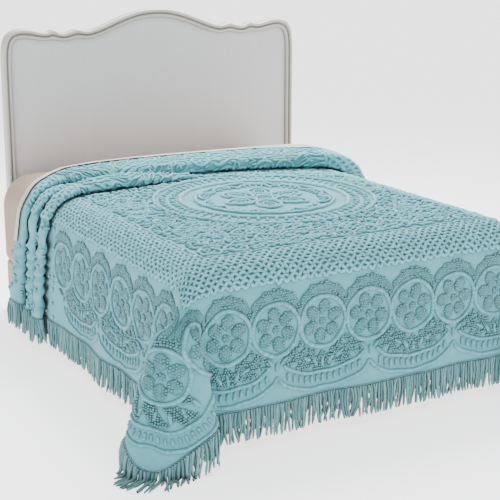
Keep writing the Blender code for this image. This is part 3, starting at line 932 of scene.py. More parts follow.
def turned(x: Array, y: Array, centre: Pair, turn: float) -> Array:
    """Points turned about the origin, then moved.

    Args:
        x: Their first coordinates.
        y: Their second coordinates.
        centre: Where the origin moves to.
        turn: The turn in degrees.

    Returns:
        The points.
    """
    c, s = math.cos(math.radians(turn)), math.sin(math.radians(turn))
    return np.stack([centre[0] + x * c - y * s, centre[1] + x * s + y * c], 1)


def ring(centre: Pair, radius: float, start: float = 0.0, stop: float = 360.0,
         squash: float = 1.0, turn: float = 0.0) -> Array:
    """Points on a circle, an arc or a turned oval.

    Args:
        centre: Its middle.
        radius: Its radius, along its long way where squashed.
        start: First angle in degrees.
        stop: Last angle in degrees.
        squash: Width over length.
        turn: Turn of an oval in degrees.

    Returns:
        The points.
    """
    t = np.radians(np.linspace(start, stop, max(int(abs(stop - start) / 12), 6)))
    return turned(radius * np.cos(t), radius * squash * np.sin(t), centre, turn)


def around(centre: Pair, radius: float, angle: float) -> Pair:
    """A point at an angle from another.

    Args:
        centre: The other point.
        radius: Its distance.
        angle: Its angle in degrees.

    Returns:
        The point.
    """
    return (centre[0] + radius * math.cos(math.radians(angle)),
            centre[1] + radius * math.sin(math.radians(angle)))


def dash(centre: Pair, length: float, angle: float) -> Array:
    """A short straight line.

    Args:
        centre: Its middle.
        length: Its length.
        angle: Its direction in degrees.

    Returns:
        Its points.
    """
    return np.array([around(centre, length / 2, angle + 180), centre, around(centre, length / 2, angle)])


@dataclass
class Pattern:
    """The bedspread's tufting: a band, a border of rings and swags, a field and a medallion."""

    width: float = 2.37
    length: float = 2.89
    ring_in: float = 0.255
    pitch: float = 0.186
    ring_r: float = 0.090
    ring_line: Pair = (0.0176, 0.0064)
    swag_line: Pair = (0.0150, 0.0060)
    band_line: Pair = (0.0176, 0.0062)
    brow_r: float = 0.096
    brow_up: float = 0.045
    band: Pair = (0.424, 0.585)
    band_rows: int = 10
    band_pitch: float = 0.031
    band_wave: float = 0.0066
    edge_line: float = 0.602
    side_rings: int = 7
    flower_share: float = 0.86
    petals: int = 6
    # petals and heart: place, length, width, height of the mound and size of the pile on it
    petal: tuple = (0.65, 0.68, 0.60, 0.0044, 0.34, 0.78)
    heart: tuple = (0.34, 0.34, 0.0048, 0.14)
    brow_arc: tuple = (0.099, 0.022, 0.55, 2.59)
    brow_line: Pair = (0.030, 0.0032)
    # lines of a swag: half width, rise, sag, width of its oval, points
    swags: tuple = ((0.186, 0.105, 0.085, 0.188, 31), (0.160, 0.150, 0.073, 0.166, 27))
    swag_leaf: float = 0.022
    swag_leaves: tuple = ((0.0, 0.112, 90), (-0.032, 0.118, 120), (0.032, 0.118, 60),
                          (-0.066, 0.134, 150), (0.066, 0.134, 30))
    join_leaf: float = 0.019
    join_leaves: tuple = ((0.0, 0.128, 90), (-0.026, 0.146, 135), (0.026, 0.146, 45),
                          (-0.040, 0.176, 160), (0.040, 0.176, 20))
    # medallion: rings by radius and width, rows of dashes by radius and count
    rounds: tuple = ((0.335, 0.022), (0.275, 0.015), (0.440, 0.013))
    dashes: tuple = ((0.365, 64), (0.405, 72))
    # scallops and middle petals: count, distance out, radius (and half angle); rays in degrees
    scallops: tuple = (10, 0.200, 0.062, 84)
    rays: tuple = (-9, -3, 3, 9)
    mid_petals: tuple = (6, 0.112, 0.066)
    pith: tuple = (0.115, 0.040, 0.028)
    figures_from: float = 0.485
    strokes_from: float = 0.455
    stroke_cell: float = 0.016
    stroke_tries: int = 16000
    tube_grid: Pair = (0.028, 0.026)
    tube_share: float = 0.35
    band_stray: float = 0.0024
    middle: Pair = (0.05, 1.297)
    field_step: Pair = (0.106, 0.092)
    seed: int = 7
    lines: list[Ridge] = field(default_factory=list)
    field_lines: list[Ridge] = field(default_factory=list)
    mounds: list[Ridge] = field(default_factory=list)
    fills: list[Array] = field(default_factory=list)
    brows: list[Array] = field(default_factory=list)
    tube_fills: list[Array] = field(default_factory=list)

    def __post_init__(self) -> None:
        """Lay out the whole pattern."""
        self.random = np.random.default_rng(self.seed)
        half = self.width / 2
        for k in range(-4, 5):
            self.border((k * self.pitch, self.ring_in), 90.0, k % 2 == 1)
        for m in range(1, self.side_rings + 1):
            v = self.ring_in + m * self.pitch
            self.border((-half + self.ring_in, v), 0.0, m % 2 == 0)
            self.border((half - self.ring_in, v), 180.0, m % 2 == 0)
        self.tubes()
        for side in (-1, 1):
            self.corner((side * (half - self.ring_in), self.ring_in), side)
        self.medallion()
        self.scatter()
        self.strokes()

    def flower(self, centre: Pair, radius: float) -> None:
        """A flower of filled round petals.

        Args:
            centre: Its middle.
            radius: Its whole radius.
        """
        start = self.random.uniform(0, 360)
        at, long, wide, high, pile, squash = self.petal
        for k in range(self.petals):
            angle = start + k * 360 / self.petals
            spot = around(centre, radius * at, angle)
            self.mounds.append(Ridge(dash(spot, radius * long, angle), radius * wide, high, Pile.CORD))
            self.fills.append(self.disc(spot, radius * pile, squash, angle))
        long, wide, high, pile = self.heart
        self.mounds.append(Ridge(dash(centre, radius * long, 0.0), radius * wide, high, Pile.CORD))
        self.fills.append(self.disc(centre, radius * pile, 1.0, 0.0))

    @staticmethod
    def disc(centre: Pair, radius: float, squash: float, turn: float, pitch: float = 0.0098) -> Array:
        """Spots that fill an oval.

        Args:
            centre: Its middle.
            radius: Its radius along its long way.
            squash: Width over length.
            turn: Its turn in degrees.
            pitch: Distance between spots.

        Returns:
            The spots.
        """
        n = int(radius / pitch) + 2
        i, j = np.meshgrid(np.arange(-n, n + 1), np.arange(-n, n + 1))
        x, y = (i + 0.5 * (j % 2)) * pitch, j * pitch * 0.87
        inside = (x / radius) ** 2 + (y / (radius * squash)) ** 2 < 1.0
        return turned(x[inside], y[inside], centre, turn)

    def border(self, centre: Pair, inward: float, swag: bool) -> None:
        """One ring of the border with its brow above and its swag or join below.

        Args:
            centre: The ring's middle.
            inward: Direction toward the middle of the cloth, in degrees.
            swag: Whether a swag hangs under this ring.
        """
        def line(points: object) -> Array:
            """Place points given across and inward from the ring's middle.

            Args:
                points: The points.

            Returns:
                The flat points.
            """
            return turned(*np.array(list(points)).T, centre, inward - 90.0)

        self.ringed(centre)
        self.brows.append(line(self.crescent()))
        radius, up, first, last = self.brow_arc
        arc = ((radius * math.cos(a), up + radius * math.sin(a)) for a in np.linspace(first, last, 25))
        self.mounds.append(Ridge(line(arc), *self.brow_line, Pile.CORD))
        low = self.ring_in
        size, leaves = self.join_leaf, self.join_leaves
        if swag:
            for reach, rise, sag, curve, count in self.swags:
                bow = ((x, rise - low - sag * math.sqrt(1 - (x / curve) ** 2))
                       for x in np.linspace(-reach, reach, count))
                self.lines.append(Ridge(line(bow), *self.swag_line))
            for x in np.linspace(-0.144, 0.144, 13):
                y = -low + 0.053 + 0.075 * (1 - math.sqrt(1 - (x / 0.175) ** 2))
                self.lines.append(Ridge(line([(x, y - 0.014), (x, y), (x, y + 0.014)]), 0.0135, 0.007))
            self.brows.append(line(self.spray()))
            size, leaves = self.swag_leaf, self.swag_leaves
        for x, y, turn in leaves:
            self.leaf(line([(x, y - low)])[0], size, turn + inward - 90)

    def ringed(self, centre: Pair) -> None:
        """A ring with its flower.

        Args:
            centre: Its middle.
        """
        self.lines.append(Ridge(ring(centre, self.ring_r), *self.ring_line))
        self.flower(centre, self.ring_r * self.flower_share)

    def spray(self) -> list[Pair]:
        """Spots of the leafy ground between the rings and a swag.

        Returns:
            The spots, across and inward from a ring's middle.
        """
        out = []
        for row, y in enumerate(np.arange(-0.185, -0.02, 0.0078)):
            for x in np.arange(-0.162, 0.162, 0.0088):
                x = x + 0.0044 * (row % 2)
                swag = -self.ring_in + 0.164 - 0.073 * math.sqrt(max(1 - (x / 0.166) ** 2, 0))
                clear = all(math.hypot(x - k * self.pitch, y) > self.ring_r + 0.014 for k in (-1, 0, 1))
                vein = math.sin(110 * abs(x) + 60 * y) * math.sin(130 * y) > -0.35
                if y > swag and clear and vein:
                    out.append((x, y))
        return out

    def tubes(self) -> None:
        """Loose tufts on the ends that are gathered into tubes at the head of each side."""
        first = self.ring_in + (self.side_rings + 0.5) * self.pitch + 0.012
        half = self.width / 2
        for side in (-1, 1):
            u, v = np.meshgrid(np.arange(half - self.band[0] + 0.01, half - 0.02, self.tube_grid[0]),
                               np.arange(first, self.length, self.tube_grid[1]))
            u = u + self.tube_grid[0] / 2 * (np.arange(len(u)) % 2)[:, None]
            spots = np.stack([side * u.ravel(), v.ravel()], 1)
            spots = spots[self.random.random(len(spots)) < self.tube_share]
            self.tube_fills.append(spots + self.random.normal(0.0, 0.0050, spots.shape))

    def leaf(self, centre: Pair, size: float, turn: float) -> None:
        """A small leaf: one thick short stroke.

        Args:
            centre: Its middle.
            size: Half its length.
            turn: Its direction in degrees.
        """
        self.lines.append(Ridge(dash(centre, size * 1.7, turn), size * 0.72, 0.0085))

    def crescent(self) -> list[Pair]:
        """Spots that fill the brow over a ring.

        Returns:
            The spots, across and inward from the ring's middle.
        """
        out = []
        for y in np.arange(0.02, 0.155, 0.0078):
            for x in np.arange(-0.10, 0.10, 0.0085):
                x = x + 0.004 * (round(y / 0.0078) % 2)
                turn = math.atan2(y - self.brow_up, x)
                edge = self.brow_r - 0.006 + 0.007 * abs(math.sin(5.5 * turn))
                near = math.hypot(x, y - self.brow_up) < edge
                if near and math.hypot(x, y) > self.ring_r + 0.014 and abs(x) > 0.004:
                    out.append((x, y))
        return out

    def corner(self, centre: Pair, side: int) -> None:
        """The ring and swag that turn the corner.

        Args:
            centre: The ring's middle.
            side: -1 on the left, 1 on the right.
        """
        self.ringed(centre)
        base, way = (0, 1) if side > 0 else (180, -1)
        for radius, first, last in ((0.245, -135, 45), (0.182, -130, 40)):
            bow = [around(centre, radius, base + way * a) for a in np.linspace(first, last, 40)]
            self.lines.append(Ridge(np.array(bow), *self.swag_line))
        for a in base + way * np.linspace(-120, 30, 23):
            self.lines.append(Ridge(dash(around(centre, 0.213, a), 0.028, a), 0.013, 0.007))
        for a in base + way * np.linspace(-110, 20, 7):
            self.leaf(around(centre, 0.135, a), 0.021, a)
        spots = [(r, a) for r in np.arange(0.106, 0.128, 0.0082)
                 for a in np.arange(118, 154, math.degrees(0.0086 / r))]
        spots += [(r, a) for r in np.arange(0.106, 0.166, 0.0082)
                  for a in np.arange(-112, 22, math.degrees(0.0088 / r))
                  if math.sin(9 * math.radians(a) + 60 * r) > -0.45]
        self.brows.append(np.array([around(centre, r, base + way * a) for r, a in spots]))

    def medallion(self) -> None:
        """Rings, dashes, scallops and a flower at the middle of the field."""
        mid, draw = self.middle, self.field_lines.append
        for radius, wide in self.rounds:
            draw(Ridge(ring(mid, radius), wide, 0.010, Pile.CORD))
        for radius, count in self.dashes:
            for a in 360 / count * np.arange(count):
                draw(Ridge(dash(around(mid, radius, a), 0.026, a), 0.0145, 0.009))
        count, out, radius, half = self.scallops
        for a in 360 / count * np.arange(count):
            draw(Ridge(ring(around(mid, out, a), radius, a - half, a + half), 0.013, 0.009, Pile.CORD))
            for b in a + np.array(self.rays):
                draw(Ridge(dash(around(mid, 0.232, b), 0.030, b), 0.010, 0.008))
        count, out, radius = self.mid_petals
        away, inner, fill = self.pith
        for a in 360 / count * np.arange(count) + 10:
            draw(Ridge(ring(around(mid, out, a), radius, squash=0.72, turn=a), 0.015, 0.0095, Pile.CORD))
            draw(Ridge(ring(around(mid, away, a), inner, squash=0.6, turn=a), 0.011, 0.008))
            self.fills.append(self.disc(around(mid, away, a), fill, 0.55, a))
        draw(Ridge(ring(mid, 0.036), 0.013, 0.009))
        self.fills.append(self.disc(mid, 0.026, 1.0, 0.0))

    def scatter(self) -> None:
        """Small flowers, sprays and waves over the field."""
        reach = self.width / 2 - self.edge_line - 0.035
        rows = np.arange(self.edge_line + 0.055, self.length - 0.03, self.field_step[1])
        for r, v in enumerate(rows):
            shift = 0.5 * (r % 2)
            for c in range(-5, 6):
                u = (c + shift) * self.field_step[0] + self.random.uniform(-0.012, 0.012)
                y = v + self.random.uniform(-0.010, 0.010)
                if abs(u) <= reach and math.dist((u, y), self.middle) >= self.figures_from:
                    self.motif((u, y), (r * 2 + c * 3) % 5)

    def strokes(self) -> None:
        """Short strokes of pile that fill the field between its figures."""
        reach = self.width / 2 - self.edge_line - 0.02
        taken = np.concatenate([line.points for line in self.field_lines])
        cell = self.stroke_cell
        full = {(round(u / cell), round(v / cell)) for u, v in taken}
        for _ in range(self.stroke_tries):
            u = self.random.uniform(-reach, reach)
            v = self.random.uniform(self.edge_line + 0.02, self.length - 0.02)
            i, j = round(u / cell), round(v / cell)
            if math.dist((u, v), self.middle) < self.strokes_from or (i, j) in full:
                continue
            full |= {(i - 1, j), (i, j), (i + 1, j)}
            length, turn = self.random.uniform(0.020, 0.036), self.random.uniform(-30, 30)
            self.field_lines.append(Ridge(dash((u, v), length, turn), 0.0115, 0.0090))

    def motif(self, spot: Pair, kind: int) -> None:
        """One small figure of the field.

        Args:
            spot: Its middle.
            kind: Which figure, 0 to 4.
        """
        turn, draw = self.random.uniform(-25, 25), self.field_lines.append
        if kind in (0, 3):
            draw(Ridge(ring(spot, 0.040, squash=0.9, turn=turn), 0.014, 0.009))
            for a in turn + 72 * np.arange(5):
                draw(Ridge(dash(around(spot, 0.017, a), 0.016, a), 0.012, 0.008))
        elif kind in (1, 4):
            x = np.linspace(-0.062, 0.062, 15)
            for lift in (-0.028, 0.0, 0.028):
                y = lift + 0.011 * np.sin(x / 0.020 + lift * 40 + kind)
                draw(Ridge(np.stack([spot[0] + x, spot[1] + y], 1), 0.014, 0.009))
        else:
            for a in 90 + turn + 62 * np.arange(-1, 2):
                draw(Ridge(ring(around(spot, 0.024, a), 0.025, squash=0.5, turn=a), 0.013, 0.009))
            draw(Ridge(dash(around(spot, 0.030, 270 + turn), 0.045, turn), 0.014, 0.009))

    def band_lines(self) -> list[Ridge]:
        """The wavy rows of the popcorn band and the line at its inner edge.

        Returns:
            The ridges.
        """
        out = []
        half = self.width / 2
        for k, inset in enumerate(np.linspace(*self.band, self.band_rows)):
            turn = self.band[1]
            legs = (((-half + inset, self.length + 0.1), (-half + inset, turn), (1.0, 0.0)),
                    ((-half + self.band[0], inset), (half - self.band[0], inset), (0.0, 1.0)),
                    ((half - inset, turn), (half - inset, self.length + 0.1), (1.0, 0.0)))
            for first, last, way in legs:
                line = resample(np.array([first, last]), self.band_pitch / 6)
                place = line @ np.array(way[::-1])
                swing = self.band_wave * np.cos(2 * np.pi * place / self.band_pitch + np.pi * k)
                swing += self.random.normal(0.0, self.band_stray, len(place))
                out.append(Ridge(line + np.outer(swing, way), *self.band_line))
        inset = self.edge_line
        rim = np.array([(-half + inset, self.length + 0.1), (-half + inset, inset),
                        (half - inset, inset), (half - inset, self.length + 0.1)])
        out.append(Ridge(resample(rim, 0.01), 0.013, 0.006, Pile.CORD))
        return out


# Pieces


@dataclass
class Bedspread:
    """The cloth of the bedspread with its tufting."""

    drape: Drape
    column: float = 0.012
    side_column: float = 0.0082
    plain_row: float = 0.012
    tuck_row: float = 0.0055
    ridge_step: float = 0.0068
    profile: tuple = ((-1.0, -0.18), (-0.62, 0.66), (0.0, 1.0), (0.62, 0.66), (1.0, -0.18))
    wobble: float = 0.0016
    low_on_tucks: float = 0.45
    cord_tone: float = 0.68
    # how uneven tufted lines and cords are, and how much of it their width takes
    tufted_rough: Pair = (0.50, 0.36)
    cord_rough: Pair = (0.74, 0.22)
    tallest: float = 1.20
    tuft_r: float = 0.0048
    tuft_h: float = 0.0042
    tuft_stray: float = 0.0009
    tuft_light: float = 0.3
    tuft_margin: float = 0.006
    ridge_margin: float = 0.002
    finish: Cotton = Cotton("chenille_ground", (0.088, 0.325, 0.370), (0.122, 0.425, 0.480), painted_shade_reach=0.016,
                            grain=260.0, depth=0.0018, weave=500.0, dark=(0.70, 0.74, 0.75))
    pile: Cotton = Cotton("chenille_pile", (0.054, 0.205, 0.232), (0.175, 0.555, 0.625), painted_shade_reach=0.016,
                          grain=240.0, depth=0.0030, dark=(0.46, 0.50, 0.51))
    deep_pile: Cotton = Cotton("chenille_tufts", (0.044, 0.150, 0.166), (0.104, 0.340, 0.368), painted_shade_reach=0.016,
                               grain=240.0, depth=0.0030, dark=(0.46, 0.50, 0.51))
    mound: Cotton = Cotton("chenille_mounds", (0.040, 0.142, 0.158), (0.072, 0.244, 0.268), painted_shade_reach=0.016,
                           grain=190.0, depth=0.0040, dark=(0.46, 0.50, 0.51))

    def cloth(self) -> Piece:
        """The plain cloth under the tufting.

        Returns:
            The piece.
        """
        d = self.drape
        side = np.arange(d.us[0], -d.half_top, self.side_column)
        us = np.concatenate([side, np.arange(-d.half_top, d.half_top, self.column), -side[::-1]])
        start = np.interp(us, d.us, d.start)
        end = np.interp(us, d.us, d.end)
        plain = int(start.max() / self.plain_row)
        tucked = int((end - start).max() / self.tuck_row)
        low = np.linspace(0.0, 1.0, plain + 1)[:-1, None] * start
        high = start + np.linspace(0.0, 1.0, tucked + 1)[:, None] * (end - start - 1e-6)
        v = np.concatenate([low, high])
        u = np.broadcast_to(us, v.shape)
        # painted shade: the cloth's pile value drops in the gaps between the side tubes
        mesh = grid_mesh("bedspread_cloth", d.at(u, v), 0.3 * d.shade_at(u, v))
        return finish_piece("bedspread_cloth", mesh, self.finish.make())

    def ridges(self, name: str, lines: list[Ridge], material: bpy.types.Material,
               step: float = 0.0, tone: float = 0.85) -> Piece:
        """Raised lines of tufts, swept along the draped cloth.

        Args:
            name: Name of the piece.
            lines: The lines.
            material: Their finish.
            step: Distance between their sections, or 0 for the usual.
            tone: How light the tufted ones are.

        Returns:
            The piece.
        """
        random = np.random.default_rng(len(lines))
        spots, breaks, piles = [], [], []
        across, rise = np.array(self.profile).T
        count = 0
        for line in lines:
            p = resample(line.points, (step or self.ridge_step) if len(line.points) > 4 else 0.005)
            p = p + self.wobble * np.sin(p[:, ::-1] * 59.0 + 7.0 * p)
            p = p[self.drape.holds(p, self.ridge_margin)]
            if len(p) < 3:
                continue
            way = unit(np.gradient(p, axis=0))
            closed = np.linalg.norm(line.points[0] - line.points[-1]) < 1e-6
            swell = np.ones(len(p))
            if not closed:
                s = walk(p)
                near = np.clip(np.minimum(s, s[-1] - s) / (line.wide / 2), 0.0, 1.0)
                swell = np.maximum(np.sqrt(1.0 - (1.0 - near) ** 2), 0.35)
            tufted = line.pile is Pile.TUFTED
            least, share = self.tufted_rough if tufted else self.cord_rough
            jitter = random.uniform(least, self.tallest, len(p))
            if closed:
                jitter[-1] = jitter[0]
            side = np.stack([-way[:, 1], way[:, 0]], 1)
            wide = line.wide / 2 * swell * (1.0 - share + share * jitter)
            offset = wide[:, None] * across
            u = p[:, :1] + side[:, :1] * offset
            v = p[:, 1:] + side[:, 1:] * offset
            low = 1.0 - self.low_on_tucks * self.drape.tucked(p[:, 0], p[:, 1])
            h = line.high * (swell * jitter * low)[:, None] * rise + self.drape.thick / 2
            spots.append(np.stack([u, v, h], 2))
            # painted shade: the pile value drops to nothing at the line's edges and falls in the gaps
            # between the side tubes, so these take the dark colour; jitter and tone vary it at random and
            # by kind of line
            shade = self.drape.shade_at(p[:, 0], p[:, 1])
            shade = shade * jitter * (tone if tufted else self.cord_tone)
            piles.append(np.broadcast_to(np.clip(rise, 0.0, 1.0), u.shape) * shade[:, None])
            count += len(p)
            breaks.append(count - 1)
        flat = np.concatenate(spots)
        pile = np.concatenate(piles)
        places = self.drape.at(np.clip(flat[..., 0], self.drape.us[0], -self.drape.us[0]),
                               np.maximum(flat[..., 1], 0.0), flat[..., 2])
        mesh = grid_mesh(name, places, pile, np.array(breaks[:-1]))
        return finish_piece(name, mesh, material)

    def tufts(self, name: str, spots: Array, material: bpy.types.Material,
              scale: float = 1.0) -> Piece:
        """Small domes of pile on the draped cloth.

        Args:
            name: Name of the piece.
            spots: Their flat places.
            material: Their finish.
            scale: Their size against the usual.

        Returns:
            The piece.
        """
        random = np.random.default_rng(11)
        bm = bmesh.new()
        bmesh.ops.create_cone(bm, segments=5, radius1=1.0, radius2=0.58, depth=1.0, cap_ends=True)
        bmesh.ops.delete(bm, geom=[f for f in bm.faces if f.normal.z < -0.9], context="FACES_ONLY")
        pattern = mesh_of(bm, "tuft_pattern")
        shape = np.array([v.co[:] for v in pattern.vertices])
        shape[:, 2] += 0.5
        inside = (self.drape.holds(spots, self.tuft_margin)
                  & (self.drape.shade_at(spots[:, 0], spots[:, 1]) > self.tuft_light))
        spots = spots[inside] + random.normal(0.0, self.tuft_stray, (inside.sum(), 2))
        turn = random.uniform(0, 2 * np.pi, len(spots))
        size = self.tuft_r * scale * random.uniform(0.85, 1.15, len(spots))
        tall = self.tuft_h * scale * random.uniform(0.7, 1.3, len(spots))
        c, s = np.cos(turn)[:, None], np.sin(turn)[:, None]
        x = size[:, None] * (shape[:, 0] * c - shape[:, 1] * s)
        y = size[:, None] * (shape[:, 0] * s + shape[:, 1] * c)
        h = tall[:, None] * shape[:, 2] / shape[:, 2].max() + self.drape.thick / 2 - 0.001
        places = self.drape.at(spots[:, :1] + x, spots[:, 1:] + y, h)
        # painted shade: the pile value is lowest at the foot of each tuft and in the gaps between the side
        # tubes
        shade = self.drape.shade_at(spots[:, 0], spots[:, 1])
        pile = shape[:, 2] / shape[:, 2].max() * 0.75 * shade[:, None]
        mesh = joined_mesh(name, pattern, places, pile)
        return finish_piece(name, mesh, material)

    def build(self) -> tuple[Piece, list[Piece]]:
        """Build the cloth and its tufting.

        Returns:
            The cloth, and the pieces on it.
        """
        cloth = self.cloth()
        pattern = Pattern()
        pile, deep = self.pile.make(), self.deep_pile.make()
        parts = [
            self.ridges("tufted_band", pattern.band_lines(), pile),
            self.ridges("tufted_border", pattern.lines, pile, 0.0052, 0.42),
            self.ridges("tufted_field", pattern.field_lines, pile),
            self.ridges("pile_mounds", pattern.mounds, self.mound.make()),
            self.tufts("pile_flowers", np.concatenate(pattern.fills), deep, 1.25),
            self.tufts("pile_brows", np.concatenate(pattern.brows), deep, 1.20),
            self.tufts("pile_tubes", np.concatenate(pattern.tube_fills), pile, 1.70),
        ]
        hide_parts("bedspread")
        return cloth, parts


@dataclass
class Fringe:
    """Twisted cotton strands along the side and foot hems."""

    drape: Drape
    drop: float = 0.11
    pitch: float = 0.0056
    thick: float = 0.0106
    behind: Pair = (0.55, 0.78)
    segments: int = 9
    sides: int = 5
    taper: tuple = (0.9, 1.0, 1.02, 1.0, 0.98, 0.96, 0.94, 0.92, 0.9, 0.55)
    guide: Place = (0.35, 0.9, 0.25)
    floor_z: float = 0.0035
    bunch_share: float = 0.13
    pull: Pair = (0.1, 0.45)
    # how far strands stray along the hem, bow and stand off
    stray: Place = (0.0035, 0.0058, 0.0045)
    finish: Cotton = Cotton("fringe_cotton", (0.052, 0.185, 0.198), (0.165, 0.385, 0.405),
                            grain=300.0, depth=0.0015)

    def hem(self) -> tuple[Array, Array]:
        """Flat hem points and the way out of the cloth at each.

        Returns:
            The points and the directions, both flat.
        """
        half = self.drape.width / 2
        left, right = np.interp([-half, half], self.drape.us, self.drape.end) - 0.004
        rim = resample(np.array([(-half, left), (-half, 0.0), (half, 0.0), (half, right)]), 0.002)
        pivot = np.stack([np.clip(rim[:, 0], -self.drape.half_top, self.drape.half_top),
                          np.maximum(rim[:, 1], self.drape.foot_drop)], 1)
        return rim, unit(rim - pivot)

    def paths(self) -> tuple[Array, Array]:
        """The middle line of every strand.

        Returns:
            Strands by points by 3, and the flat hem point of each strand.
        """
        random = np.random.default_rng(5)
        rim, out = self.hem()
        line = self.drape.at(rim[:, 0], rim[:, 1])
        s = walk(line)
        count = int(s[-1] / self.pitch)
        at = (np.arange(count) + 0.5) * s[-1] / count
        root, flat, way = (np.stack([np.interp(at, s, column) for column in table.T], 1)
                           for table in (line, rim, out))
        inner = flat - way * 0.02
        down = unit(root - self.drape.at(inner[:, 0], inner[:, 1]))
        tangent = unit(np.gradient(root, axis=0))
        level = np.array([1.0, 1.0, 0.0])
        face = unit(np.cross(tangent, down) * level)
        x, y = self.drape.origin
        reach = self.drape.half_top
        axis = np.stack([np.clip(root[:, 0] - x, -reach, reach) + x, np.maximum(root[:, 1], y + 0.02),
                         root[:, 2]], 1)
        away = unit(root - axis)
        # strands gather into small bunches toward their tips
        bunch = np.cumsum(random.random(count) < self.bunch_share)
        middle = np.zeros(bunch.max() + 1)
        np.add.at(middle, bunch, at)
        middle /= np.bincount(bunch, minlength=len(middle))
        pull = (middle[bunch] - at) * random.uniform(*self.pull, count)
        lean, bow, depth = (random.normal(0.0, spread, count) for spread in self.stray)
        lean = lean + pull
        t = np.linspace(0.0, 1.0, self.segments + 1)
        # every second strand hangs behind the others and ends higher
        back = np.arange(count) % 2 == 1
        step = self.drop / self.segments * np.where(back, random.uniform(*self.behind, count), 1.0)
        inward = (away * face).sum(1, keepdims=True) < 0
        points = [root + down * 0.001 + np.where(back[:, None] == inward, 0.0020, -0.0020) * face]
        for k in range(self.segments):
            m = (t[k] + t[k + 1]) / 2
            sag = min(m * 1.6, 1.0)
            move = down * (1 - sag) + np.array([0.0, 0.0, -1.0]) * sag
            slide = lean * 2 * m + bow * np.pi * np.cos(np.pi * m * 1.3)
            move = move * self.drop + tangent * slide[:, None] + face * (depth * 2 * m)[:, None]
            new = points[-1] + unit(move) * step[:, None]
            low = new[:, 2] < self.floor_z
            if low.any():
                fall = np.minimum(points[-1][:, 2] - self.floor_z, step * 0.98)
                flat_run = np.sqrt(np.maximum(step ** 2 - np.maximum(fall, 0.0) ** 2, 0.0))
                spread = away + tangent * (lean * 22 + bow * 30 * np.cos(4 * m + at * 40))[:, None]
                rest = points[-1] + unit(spread * level) * flat_run[:, None]
                rest[:, 2] = self.floor_z + 0.0006 * np.sin(at * 900 + k)
                new = np.where(low[:, None], rest, new)
            points.append(new)
        return np.stack(points, 1), flat

    def build(self) -> list[Piece]:
        """Build the strands as three joined meshes with the heading along the hem.

        Returns:
            The pieces.
        """
        random = np.random.default_rng(3)
        paths, flat = self.paths()
        bm = bmesh.new()
        bmesh.ops.create_grid(bm, x_segments=self.sides, y_segments=self.segments, size=1.0)
        pattern = mesh_of(bm, "strand_pattern")
        co = np.array([v.co[:2] for v in pattern.vertices])
        angle = (co[:, 0] + 1) * np.pi
        k = np.rint((co[:, 1] + 1) / 2 * self.segments).astype(int)
        tangent = unit(np.gradient(paths, axis=1))
        one = unit(np.cross(tangent, self.guide))
        two = np.cross(tangent, one)
        spin = angle[None, :] + random.uniform(0, 6, len(paths))[:, None]
        wide = self.thick / 2 * random.uniform(0.85, 1.15, len(paths))[:, None]
        radius = wide * np.array(self.taper)[k] * (1 + 0.10 * np.cos(2 * angle + 2.2 * k))
        places = (paths[:, k] + one[:, k] * (radius * np.cos(spin))[..., None]
                  + two[:, k] * (radius * np.sin(spin))[..., None])
        places[..., 2] = np.maximum(places[..., 2], 0.0012)
        tone = np.broadcast_to(random.uniform(0.05, 0.6, len(paths))[:, None], places.shape[:2])
        material = self.finish.make()
        half = self.drape.half_top
        groups = (("fringe_side_left", (flat[:, 0] < -half - 0.1) & (flat[:, 1] > 0.4)),
                  ("fringe_round_foot", flat[:, 1] <= 0.4),
                  ("fringe_side_right", (flat[:, 0] > half + 0.1) & (flat[:, 1] > 0.4)))
        out = []
        for name, chosen in groups:
            mesh = joined_mesh(name, pattern.copy(), places[chosen], tone[chosen])
            out.append(finish_piece(name, mesh, material))
        bpy.data.meshes.remove(pattern)
        out.append(self.heading(material))
        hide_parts("fringe_left", "fringe_head_left")
        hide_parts("fringe_foot", "fringe_corner_left", "fringe_corner_right")
        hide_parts("fringe_right", "fringe_head_right")
        return out

    def heading(self, material: bpy.types.Material) -> Piece:
        """The knotted heading that joins strands and hem.

        Args:
            material: Its finish.

        Returns:
            The piece.
        """
        rim, out = self.hem()
        rim, out = rim[::3], out[::3]
        rows = []
        for along, high in ((-0.004, -0.0006), (-0.003, 0.0026), (0.0, 0.0032), (0.0, -0.0032),
                            (-0.003, -0.0026), (-0.004, -0.0006)):
            inner = rim + out * along
            rows.append(self.drape.at(inner[:, 0], inner[:, 1], np.full(len(rim), high)))
        mesh = grid_mesh("fringe_heading", np.stack(rows, 1), 0.3)
        return finish_piece("fringe_heading", mesh, material)


